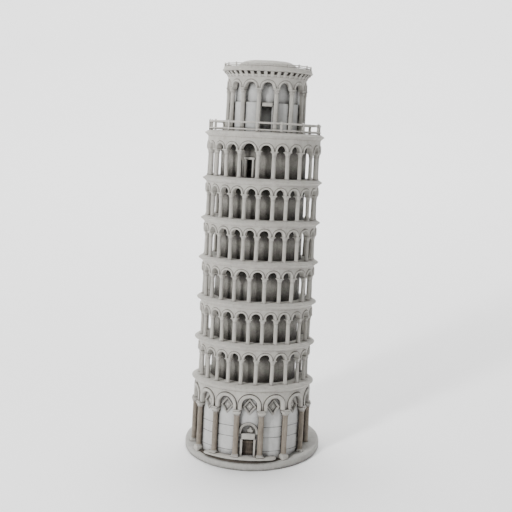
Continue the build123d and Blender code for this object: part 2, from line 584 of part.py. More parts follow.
belfry_column = column(BELFRY_FLOOR, BELFRY_SPRING, BELFRY_SHAFT, BELFRY_FOOT_RADIUS,
                       BELFRY_ABACUS, ABACUS_THICKNESS, CAPITAL_HEIGHT)
with BuildPart() as belfry_columns:
    for angle in belfry_angles:
        add(standing(angle, BELFRY_RING, BELFRY_FLOOR) * belfry_column)
    with BuildSketch(level(BELFRY_FLOOR)):
        Circle(PARAPET_OUTER)
    extrude(amount=PARAPET_TOP - BELFRY_FLOOR, mode=Mode.SUBTRACT)
keep(belfry_columns.part, "belfry_columns")

with BuildPart() as belfry_arcade:
    bay_width = 360.0 / BELFRY_COLUMNS
    arch_radius = BELFRY_RING * sin(radians(bay_width / 2)) - BELFRY_PIER
    arch_centre = BELFRY_SPRING + BELFRY_ARCH_LEG
    middles = [a + bay_width / 2 for a in belfry_angles]
    with BuildSketch(level(BELFRY_SPRING)):
        Circle(BELFRY_ARCHIVOLT)
        Circle(BELFRY_WALL_INNER, mode=Mode.SUBTRACT)
    extrude(amount=BELFRY_TOP - BELFRY_SPRING)
    with BuildSketch(*[facing(a, 0, BELFRY_WALL_OUTER - 1.5) for a in middles]):
        add(arch(arch_radius + BELFRY_ARCHIVOLT_WIDTH, arch_centre, BELFRY_SPRING - 1))
    extrude(amount=5, mode=Mode.INTERSECT)
    with BuildSketch(level(BELFRY_SPRING)):
        Circle(BELFRY_WALL_OUTER)
        Circle(BELFRY_WALL_INNER, mode=Mode.SUBTRACT)
    extrude(amount=BELFRY_TOP - BELFRY_SPRING)
    with BuildSketch(*[facing(a, 0, BELFRY_WALL_INNER - 0.5) for a in middles]):
        add(arch(arch_radius, arch_centre, BELFRY_SPRING - 1))
    extrude(amount=7, mode=Mode.SUBTRACT)
keep(belfry_arcade.part, "belfry_arcade")

# ---------------------------------------------------------------------------------------------
# Corbel table, roof slab, dome and roof railing
# ---------------------------------------------------------------------------------------------
with BuildPart() as corbel_table:
    with BuildSketch(PROFILE):
        with BuildLine():
            Polyline((BELFRY_CORE, BELFRY_TOP), (BELFRY_WALL_OUTER, BELFRY_TOP),
                     (BELFRY_WALL_OUTER, BELFRY_TOP + 0.6), (TABLE_LIP, TABLE_LIP_TOP),
                     (POCKET_WALL, TABLE_LIP_TOP + 0.3), (POCKET_WALL, CORBEL_TOP),
                     (BELFRY_CORE, CORBEL_TOP), close=True)
        make_face()
    revolve(axis=TOWER_AXIS)
keep(corbel_table.part, "corbel_table")

with BuildPart() as corbels:
    for index in range(CORBELS):
        angle = BELFRY_DOOR + 360.0 / CORBELS * (index + 0.5)
        side = Plane(origin=FOOT, x_dir=level(0, angle).x_dir,
                     z_dir=level(0, angle).x_dir.cross(AXIS))
        with BuildSketch(side):
            with BuildLine():
                Polyline((POCKET_WALL - 1, BELFRY_TOP), (BELFRY_WALL_OUTER + 0.2, BELFRY_TOP),
                         (BELFRY_WALL_OUTER + 1.2, BELFRY_TOP + 1.8),
                         (CORBEL_NOSE - 0.2, CORBEL_TOP - 0.9), (CORBEL_NOSE, CORBEL_TOP),
                         (POCKET_WALL - 1, CORBEL_TOP), close=True)
            make_face()
    extrude(amount=CORBEL_WIDTH / 2, both=True)
    add(corbel_table.part, mode=Mode.SUBTRACT)
keep(corbels.part, "corbels")

with BuildPart() as roof_slab:
    with BuildSketch(PROFILE):
        with BuildLine():
            Polyline((0, CORBEL_TOP), (ROOF_SOFFIT, CORBEL_TOP), (ROOF_TIP_RADIUS, CORBEL_TOP + 0.6),
                     (ROOF_TIP_RADIUS, CORBEL_TOP + 1.3), (ROOF_RIM, CORBEL_TOP + 2.2),
                     (ROOF_RIM, ROOF_LEVEL), (0, ROOF_LEVEL), close=True)
        make_face()
    revolve(axis=TOWER_AXIS)
keep(roof_slab.part, "roof_slab")

with BuildPart() as roof_dome:
    with BuildSketch(PROFILE):
        with BuildLine():
            Line((0, ROOF_LEVEL), (DOME_RADIUS, ROOF_LEVEL))
            Line((DOME_RADIUS, ROOF_LEVEL), (DOME_RADIUS, ROOF_LEVEL + 0.8))
            ThreePointArc((DOME_RADIUS, ROOF_LEVEL + 0.8), (21.0, DOME_TOP - 2.3),
                          (DOME_SHOULDER, DOME_TOP - 0.5))
            Line((DOME_SHOULDER, DOME_TOP - 0.5), (0, DOME_TOP))
            Line((0, DOME_TOP), (0, ROOF_LEVEL))
        make_face()
    revolve(axis=TOWER_AXIS)
keep(roof_dome.part, "roof_dome")

roof_angles = [ROOF_PHASE + 360.0 / ROOF_POSTS * i for i in range(ROOF_POSTS)]
roof_post = pointed_post(ROOF_POST, ROOF_POST_HEIGHT, ROOF_POINT)
with BuildPart() as roof_posts:
    for angle in roof_angles:
        add(standing(angle, ROOF_RAIL_RING, ROOF_LEVEL) * roof_post)
keep(roof_posts.part, "roof_rail_posts")

roof_bars = (("roof_top_rail", ROOF_TOP_RAIL), ("roof_bottom_rail", ROOF_BOTTOM_RAIL))
for name, height in roof_bars:
    with BuildPart() as rail:
        with BuildSketch(PROFILE):
            with Locations((ROOF_RAIL_RING, ROOF_LEVEL + height)):
                Circle(ROOF_BAR)
        revolve(axis=TOWER_AXIS)
        for angle in roof_angles:
            with BuildSketch(level(ROOF_LEVEL, angle)):
                with Locations((ROOF_RAIL_RING, 0)):
                    Rectangle(ROOF_POST, ROOF_POST)
        extrude(amount=ROOF_POST_HEIGHT, mode=Mode.SUBTRACT)
    keep(rail.part, name)
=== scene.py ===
"""Looks of the miniature leaning bell tower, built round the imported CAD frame.

The CAD drums, parapet and recesses stay as they are and get cast-resin finishes. Every piece that
stands proud of them (columns, arcades, cornices, railings, corbels, roof and disc) is remade here
with the soft edges and small irregularities of a hand-finished casting.
"""

from __future__ import annotations

import logging
import math
import random
from dataclasses import dataclass, field
from enum import Enum
from typing import Callable, Iterable, Sequence

import bmesh
import bpy
from mathutils import Matrix, Vector, noise

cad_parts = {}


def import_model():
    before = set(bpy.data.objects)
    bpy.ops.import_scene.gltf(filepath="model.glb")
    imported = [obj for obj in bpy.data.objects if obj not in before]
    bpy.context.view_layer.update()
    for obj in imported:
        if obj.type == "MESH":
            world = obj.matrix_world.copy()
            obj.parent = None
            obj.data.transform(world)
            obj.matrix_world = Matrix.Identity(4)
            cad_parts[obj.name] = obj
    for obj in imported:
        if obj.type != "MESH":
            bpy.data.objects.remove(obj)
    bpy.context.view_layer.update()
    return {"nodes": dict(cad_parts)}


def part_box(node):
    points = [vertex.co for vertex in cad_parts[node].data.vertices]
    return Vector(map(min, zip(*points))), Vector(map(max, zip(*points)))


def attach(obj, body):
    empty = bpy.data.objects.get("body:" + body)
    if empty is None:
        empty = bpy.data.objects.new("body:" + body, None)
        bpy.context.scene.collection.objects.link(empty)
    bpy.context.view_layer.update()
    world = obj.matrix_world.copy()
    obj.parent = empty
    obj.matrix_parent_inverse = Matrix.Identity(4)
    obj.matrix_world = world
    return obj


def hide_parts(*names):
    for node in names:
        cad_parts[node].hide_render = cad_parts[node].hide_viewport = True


LOG = logging.getLogger("bell_tower")
MM = 0.001
SEED = 4173

Colour = tuple[float, float, float]
Profile = Sequence[tuple[float, float]]
Box = tuple[tuple[float, float, float], float, float, float, int]


class Slot(Enum):
    """Material slots of the record."""

    TOWER = "tower_grey"
    DISC = "disc_grey"
    TAN = "tan_columns"
    DOOR = "dark_door"


# --------------------------------------------------------------------------------------------
# Finishes
# --------------------------------------------------------------------------------------------


class NodeGraph:
    """Small helper that adds nodes to one material's tree and links them."""

    MIX_A, MIX_B, MIX_RESULT = 6, 7, 2     # the colour sockets of a Mix node

    def __init__(self, material: bpy.types.Material) -> None:
        """Starts from an empty tree.

        Args:
            material: the material whose nodes are written.
        """
        material.use_nodes = True
        self.tree = material.node_tree
        self.tree.nodes.clear()

    def add(self, kind: str, **settings: object) -> bpy.types.Node:
        """Adds a node.

        Args:
            kind: Blender's name of the node type, without its ShaderNode prefix.
            settings: node properties, set by name.

        Returns:
            The new node.
        """
        node = self.tree.nodes.new("ShaderNode" + kind)
        for key, value in settings.items():
            setattr(node, key, value)
        return node

    def link(self, output: bpy.types.NodeSocket, target: bpy.types.NodeSocket) -> None:
        """Links an output to an input.

        Args:
            output: the socket that gives the value.
            target: the socket that takes it.
        """
        self.tree.links.new(output, target)

    def noise(self, vector: bpy.types.NodeSocket, scale: float, detail: float = 5.0,
              rough: float = 0.6) -> bpy.types.NodeSocket:
        """Adds a noise texture.

        Args:
            vector: coordinates in metres.
            scale: pattern repeats per metre.
            detail: octaves.
            rough: how strong the fine octaves are.

        Returns:
            The noise's factor.
        """
        node = self.add("TexNoise")
        node.inputs["Scale"].default_value = scale
        node.inputs["Detail"].default_value = detail
        node.inputs["Roughness"].default_value = rough
        self.link(vector, node.inputs["Vector"])
        return node.outputs["Fac"]

    def remap(self, value: bpy.types.NodeSocket, low: float, high: float, to_low: float = 0.0,
              to_high: float = 1.0) -> bpy.types.NodeSocket:
        """Stretches a value's range, clamped at both ends.

        Args:
            value: the value to stretch.
            low: input that becomes to_low.
            high: input that becomes to_high.
            to_low: smallest result.
            to_high: largest result.

        Returns:
            The stretched value.
        """
        node = self.add("MapRange", clamp=True)
        spans = {"From Min": low, "From Max": high, "To Min": to_low, "To Max": to_high}
        for key, number in spans.items():
            node.inputs[key].default_value = number
        self.link(value, node.inputs["Value"])
        return node.outputs["Result"]

    def math(self, operation: str, first: bpy.types.NodeSocket,
             second: bpy.types.NodeSocket | float) -> bpy.types.NodeSocket:
        """Adds a two-input math node, clamped to 0..1.

        Args:
            operation: Blender's name of the operation.
            first: the first input.
            second: the second input, a socket or a number.

        Returns:
            The result.
        """
        node = self.add("Math", operation=operation, use_clamp=True)
        self.link(first, node.inputs[0])
        if isinstance(second, float):
            node.inputs[1].default_value = second
        else:
            self.link(second, node.inputs[1])
        return node.outputs[0]

    def mix(self, factor: bpy.types.NodeSocket, first: bpy.types.NodeSocket | Colour,
            second: bpy.types.NodeSocket | Colour) -> bpy.types.NodeSocket:
        """Mixes two colours.

        Args:
            factor: 0 gives the first colour, 1 the second.
            first: a colour or a colour socket.
            second: a colour or a colour socket.

        Returns:
            The mixed colour.
        """
        node = self.add("Mix", data_type="RGBA")
        self.link(factor, node.inputs["Factor"])
        for socket, value in ((node.inputs[self.MIX_A], first), (node.inputs[self.MIX_B], second)):
            if isinstance(value, tuple):
                socket.default_value = (*value, 1.0)
            else:
                self.link(value, socket)
        return node.outputs[self.MIX_RESULT]

    def openness(self, reach: float, samples: int, inside: bool = False) -> bpy.types.NodeSocket:
        """Measures how open the surface is near a point.

        Args:
            reach: how far it looks, in millimetres.
            samples: rays for each point.
            inside: whether it looks into the solid, which finds edges.

        Returns:
            The openness, 1 in the open.
        """
        node = self.add("AmbientOcclusion", samples=samples, inside=inside)
        node.inputs["Distance"].default_value = reach * MM
        return node.outputs["AO"]

    def bump(self, height: bpy.types.NodeSocket, strength: float, depth: float) -> bpy.types.Node:
        """Adds a bump node.

        Args:
            height: the height pattern.
            strength: share of the bump that shows.
            depth: depth of the pattern, in millimetres.

        Returns:
            The bump node.
        """
        node = self.add("Bump")
        node.inputs["Strength"].default_value = strength
        node.inputs["Distance"].default_value = depth * MM
        self.link(height, node.inputs["Height"])
        return node

    def close(self, shader: bpy.types.Node) -> None:
        """Links a shader to the material's output.

        Args:
            shader: the shader node.
        """
        out = self.add("OutputMaterial")
        self.link(shader.outputs["BSDF"], out.inputs["Surface"])


@dataclass(frozen=True)
class CastFinish:
    """Painted cast resin: mottled paint, a dark wash in hollows that also paints the shade there,
    dry-brushed edges that also carry a painted highlight.

    Attributes:
        name: material name.
        light: paint where it is clean.
        dark: paint where it is dull.
        wash_and_shade: colour of the dark wash and of the painted shade in hollows and creases; the vertical
            runs use it too.
        wash_and_shade_amount: how strong the wash and the painted shade in hollows and creases are.
        wash_and_shade_reach: how far from a corner the wash and the painted shade show, in millimetres.
        wash_and_shade_patch: lowest share of the wash and painted shade in hollows, where the mottle thins
            them.
        wash_and_shade_full: openness below which the wash and painted shade are whole.
        wash_and_shade_none: openness above which there is no wash and no painted shade.
        edge: colour of the dry-brushing on edges, which also paints a highlight on them.
        edge_amount: how strongly edges are dry-brushed and lightened as a painted highlight.
        streaks: strength of the vertical runs.
        rough_low: roughness of rubbed areas.
        rough_high: roughness of dusty areas.
        bump: depth of the grain, in millimetres.
    """

    name: str
    light: Colour
    dark: Colour
    wash_and_shade: Colour
    wash_and_shade_amount: float = 0.85
    wash_and_shade_reach: float = 3.0
    wash_and_shade_patch: float = 0.60
    wash_and_shade_full: float = 0.30
    wash_and_shade_none: float = 0.88
    edge: Colour = (0.50, 0.49, 0.46)
    edge_amount: float = 0.35
    streaks: float = 0.25
    rough_low: float = 0.62
    rough_high: float = 0.86
    bump: float = 0.10

    BROAD_SCALE, MOTTLE_SCALE, GRAIN_SCALE = 45.0, 330.0, 2600.0    # repeats per metre
    RUN_SCALE = (420.0, 420.0, 26.0)       # the same, for runs drawn out downwards
    CREASE_REACH, EDGE_REACH = 1.0, 0.7    # millimetres
    SHEEN, CHALKINESS = 0.32, 0.6

    def build(self) -> bpy.types.Material:
        """Makes the material.

        Returns:
            The new material.
        """
        material = bpy.data.materials.new(self.name)
        graph = NodeGraph(material)
        place = graph.add("TexCoord").outputs["Object"]
        broad = graph.noise(place, self.BROAD_SCALE, 4.0)
        mottle = graph.noise(place, self.MOTTLE_SCALE, 6.0, 0.65)
        grain = graph.noise(place, self.GRAIN_SCALE, 3.0, 0.7)
        stretch = graph.add("Mapping")
        stretch.inputs["Scale"].default_value = self.RUN_SCALE
        graph.link(place, stretch.inputs["Vector"])
        runs = graph.noise(stretch.outputs["Vector"], 1.0, 3.0, 0.55)

        dull = graph.math("ADD", graph.remap(broad, 0.35, 0.68, 0.0, 0.55),
                          graph.remap(mottle, 0.38, 0.66, 0.0, 0.6))
        paint = graph.mix(dull, self.light, self.dark)
        run_mask = graph.remap(runs, 0.52, 0.70, 0.0, self.streaks)
        paint = graph.mix(run_mask, paint, self.wash_and_shade)

        # Painted shade, with the dark wash: hollows darken towards the wash colour, the more closed the
        # darker.
        hollow = graph.openness(self.wash_and_shade_reach, 12)
        hollow_wash_and_shade = graph.remap(hollow, self.wash_and_shade_full, self.wash_and_shade_none, self.wash_and_shade_amount, 0.0)
        hollow_wash_and_shade = graph.math("MULTIPLY", hollow_wash_and_shade, graph.remap(mottle, 0.30, 0.62, self.wash_and_shade_patch, 1.0))
        paint = graph.mix(hollow_wash_and_shade, paint, self.wash_and_shade)

        # Painted shade in creases, with the wash lining them: creases darken towards the wash colour.
        crease = graph.openness(self.CREASE_REACH, 8)
        crease_wash_and_shade = graph.remap(crease, 0.42, 0.80, self.wash_and_shade_amount * 0.9, 0.0)
        paint = graph.mix(crease_wash_and_shade, paint, self.wash_and_shade)

        # Painted highlight, with dry-brushing: edges lighten towards the edge colour.
        rim = graph.openness(self.EDGE_REACH, 8, inside=True)
        rubbed_and_highlit = graph.remap(rim, 0.35, 0.85, self.edge_amount, 0.0)
        rubbed_and_highlit = graph.math("MULTIPLY", rubbed_and_highlit, graph.remap(mottle, 0.42, 0.60, 0.3, 1.0))
        paint = graph.mix(rubbed_and_highlit, paint, self.edge)
        specks = graph.remap(grain, 0.66, 0.74, 0.0, 0.30)
        paint = graph.mix(specks, paint, self.dark)

        shader = graph.add("BsdfPrincipled")
        shader.inputs["Specular IOR Level"].default_value = self.SHEEN
        shader.inputs["Diffuse Roughness"].default_value = self.CHALKINESS
        graph.link(paint, shader.inputs["Base Color"])
        dusty = graph.remap(mottle, 0.30, 0.70, self.rough_low, self.rough_high)
        graph.link(dusty, shader.inputs["Roughness"])

        coarse = graph.bump(mottle, 0.55, self.bump * 2.2)
        fine = graph.bump(grain, 0.45, self.bump)
        graph.link(coarse.outputs["Normal"], fine.inputs["Normal"])
        graph.link(fine.outputs["Normal"], shader.inputs["Normal"])
        graph.close(shader)
        return material


@dataclass(frozen=True)
class FloorFinish:
    """Plain pale studio floor.

    Attributes:
        name: material name.
        colour: paint of the floor.
    """

    name: str = "studio_floor"
    colour: Colour = (0.90, 0.90, 0.90)

    def build(self) -> bpy.types.Material:
        """Makes the material.

        Returns:
            The new material.
        """
        material = bpy.data.materials.new(self.name)
        graph = NodeGraph(material)
        place = graph.add("TexCoord").outputs["Object"]
        haze = graph.remap(graph.noise(place, 3.0, 2.0), 0.3, 0.7)
        shader = graph.add("BsdfPrincipled")
        shader.inputs["Roughness"].default_value = 0.9
        dim = tuple(0.985 * c for c in self.colour)
        graph.link(graph.mix(haze, self.colour, dim), shader.inputs["Base Color"])
        graph.close(shader)
        return material


def painted(finish: CastFinish | FloorFinish) -> bpy.types.Material:
    """Makes a dataclass field that builds a finish when the palette is made.

    Args:
        finish: the finish.

    Returns:
        The field.
    """
    return field(default_factory=finish.build)


@dataclass
class Palette:
    """All finishes of the model, built once.

    Attributes:
        stone: columns, arcades and cornices.
        wall: smooth walls of the ground storey.
        core: drums behind the galleries, painted darker than the stone with a wide near-black wash, as
            painted shade in the bays.
        gap: the plinth, painted near-black as painted shade under the step.
        tan: shafts of the ground storey.
        disc: the round base.
        door: doors.
        floor: the studio floor.
    """

    stone: bpy.types.Material = painted(CastFinish(
        "cast_stone", (0.430, 0.416, 0.382), (0.345, 0.332, 0.303), (0.030, 0.023, 0.016),
        wash_and_shade_amount=0.95, wash_and_shade_reach=3.4, wash_and_shade_full=0.36, streaks=0.14))
    # The wide wash also paints shade beside the columns and under the arcade.
    wall: bpy.types.Material = painted(CastFinish(
        "cast_wall", (0.510, 0.512, 0.502), (0.435, 0.435, 0.425), (0.034, 0.027, 0.020),
        wash_and_shade_amount=0.95, wash_and_shade_reach=6.5, wash_and_shade_full=0.36, wash_and_shade_none=0.84, streaks=0.08,
        edge_amount=0.2))
    # Painted shade: the drums are darker than the stone, and the wide near-black wash darkens the tops of
    # the bays.
    core: bpy.types.Material = painted(CastFinish(
        "core_painted_shade", (0.330, 0.317, 0.288), (0.220, 0.210, 0.188), (0.012, 0.009, 0.006),
        wash_and_shade_amount=0.98, wash_and_shade_reach=13.0, wash_and_shade_patch=0.92, wash_and_shade_full=0.52, wash_and_shade_none=0.86,
        streaks=0.30))
    # Painted shade: near-black paint for the plinth under the step.
    gap: bpy.types.Material = painted(CastFinish(
        "painted_shade_gap", (0.060, 0.050, 0.040), (0.036, 0.030, 0.023), (0.008, 0.006, 0.004),
        edge=(0.20, 0.18, 0.15), edge_amount=0.2, streaks=0.2))
    tan: bpy.types.Material = painted(CastFinish(
        "tan_shaft", (0.240, 0.208, 0.169), (0.172, 0.148, 0.119), (0.030, 0.022, 0.015),
        edge=(0.32, 0.26, 0.20), streaks=0.30))
    # The wash also paints shade on the disc's top next to the tower.
    disc: bpy.types.Material = painted(CastFinish(
        "cast_disc", (0.375, 0.368, 0.346), (0.300, 0.294, 0.274), (0.030, 0.025, 0.020),
        edge=(0.38, 0.38, 0.355), streaks=0.05, wash_and_shade_reach=5.0))
    door: bpy.types.Material = painted(CastFinish(
        "dark_door", (0.070, 0.055, 0.042), (0.034, 0.027, 0.020), (0.006, 0.005, 0.004),
        edge=(0.16, 0.13, 0.10), edge_amount=0.5, streaks=0.5))
    floor: bpy.types.Material = painted(FloorFinish())


# --------------------------------------------------------------------------------------------
# The leaning frame and mesh work
# --------------------------------------------------------------------------------------------

FOOT_HEIGHT = 0.8                          # of the point that heights start from
DISC_TOP, LEVEL_CUT = 6.0, 0.3             # pieces are cut off level this far inside the disc
CORNICE_TIPS: dict[int, tuple[float, float]] = {
    1: (57.6, 49.4), 2: (89.5, 48.6), 3: (121.9, 48.3), 4: (153.8, 48.3),
    5: (185.5, 47.9), 6: (217.4, 47.9), 7: (253.1, 47.7),
}
CORNICE_BELOW, CORNICE_ABOVE = 2.4, 2.2    # underside and walking level, from the tip
STEP_FROM, STEP_TO = -48.0, 27.0           # ends of the entrance step, in degrees
GROUND_FRONT = (-63, -38, -14.5, 10, 36, 62)
FRONT_COLUMNS: dict[int, tuple[float, ...]] = {
    2: (-73, -57, -41.5, -27, -13, 2.5, 19.5, 36, 54, 71),
    3: (-68, -52.5, -37.5, -22.5, -7.5, 7, 21.5, 36.5, 53, 69),
    4: (-71, -56, -41, -25, -8.5, 7, 23, 38, 56, 72),
    5: (-63.5, -47.5, -32, -17.5, -3.5, 11.5, 26.5, 42.5, 60),
    6: (-63, -47.5, -33, -18.5, -4, 11, 25.5, 40.5, 57),
    7: (-73, -58, -42, -26, -6.5, 10, 25, 40.5, 58),
}
ABACUS_TOP, ABACUS_TOP_SEVENTH = 19.7, 21.3
GALLERY_COLUMNS, COLUMN_RING = 24, 42.8
TERRACE_FRONT = (-104, -83, -62, -39.5, -9, 15.5, 41, 70, 97, 123)
TERRACE_POSTS = 14
BELFRY_COLUMNS, BELFRY_PHASE, BELFRY_RING = 14, 13.8, 30.0
BELFRY_DOOR = BELFRY_PHASE - 180 / BELFRY_COLUMNS
BELFRY_FLOOR, BELFRY_SPRING, BELFRY_TOP = 255.3, 288.8, 297.2
CORBELS, CORBEL_WIDTH, CORBEL_RING = 40, 2.6, 30.0
CORBEL_FOOT, CORBEL_TOP = 297.25, 301.5
TILT_SHARE = 0.35                          # how much a copy tilts, as a part of its play
SINK = 0.05                                # how far a column's foot goes into the floor
ROOF_LEVEL, ROOF_POSTS, ROOF_PHASE = 305.2, 20, 7.4


@dataclass(frozen=True)
class TowerFrame:
    """The leaning axis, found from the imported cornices. Tower coordinates are in millimetres.

    Attributes:
        foot: the point of the axis that heights start from, in millimetres.
        axis: unit vector up the tower.
        right: unit vector to the right, square to the axis.
    """

    foot: Vector
    axis: Vector
    right: Vector

    @classmethod
    def measured(cls) -> "TowerFrame":
        """Finds the axis from the middles of the second and the seventh cornice.

        Returns:
            The frame that the CAD nodes stand in.
        """
        spots = []
        for storey in (2, 7):
            low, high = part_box(f"cornice_{storey}")
            spots.append((CORNICE_TIPS[storey][0], (Vector(low) + Vector(high)) / 2 / MM))
        (s0, p0), (s1, p1) = spots
        lean = (p1 - p0) / (s1 - s0)
        axis = Vector((lean.x, lean.y, math.sqrt(1 - lean.x ** 2 - lean.y ** 2)))
        foot = Vector((p0.x - axis.x * s0, p0.y - axis.y * s0, FOOT_HEIGHT))
        right = Vector((0, 1, 0)).cross(axis).normalized()
        return cls(foot, axis, right)

    def matrix(self) -> Matrix:
        """Gives the transform from tower millimetres to row-frame metres.

        Returns:
            A 4 by 4 matrix.
        """
        back = self.axis.cross(self.right)
        turn = Matrix((self.right, back, self.axis)).transposed().to_4x4()
        return Matrix.Scale(MM, 4) @ Matrix.Translation(self.foot) @ turn


def on_ring(turn: float, radius: float, height: float) -> Vector:
    """Gives a point round the axis.

    Args:
        turn: radians round the tower, 0 in front and positive to the right.
        radius: distance from the axis.
        height: height along the axis.

    Returns:
        The point in tower millimetres.
    """
    return Vector((radius * math.sin(turn), -radius * math.cos(turn), height))


def around(angle: float, radius: float, height: float, side: float = 0.0) -> Matrix:
    """Gives the place of an upright piece on a ring, its X axis pointing outwards.

    Args:
        angle: degrees round the tower, 0 in front and positive to the right.
        radius: distance from the axis.
        height: height along the axis.
        side: straight shift to the side.

    Returns:
        A matrix in tower millimetres.
    """
    t = math.radians(angle)
    turn = Matrix.Rotation(t - math.pi / 2, 4, "Z")
    return Matrix.Translation(on_ring(t, radius, height)) @ turn @ Matrix.Translation((0, side, 0))


def whole_circle(front: Sequence[float], count: int) -> list[float]:
    """Shares the rest of a circle evenly after the angles given for its front.

    Args:
        front: the angles given, rising.
        count: how many there are in all.

    Returns:
        All the angles, in order.
    """
    rest = count - len(front)
    pitch = (360.0 - (front[-1] - front[0])) / (rest + 1)
    return [*front, *(front[-1] + pitch * (i + 1) for i in range(rest))]


def bays(angles: Sequence[float]) -> list[tuple[float, float]]:
    """Gives each bay between neighbouring columns.

    Args:
        angles: the columns' angles, in order.

    Returns:
        Middle angle and width in degrees, for each bay.
    """
    ends = [*angles[1:], angles[0] + 360.0]
    return [((a + b) / 2, b - a) for a, b in zip(angles, ends)]


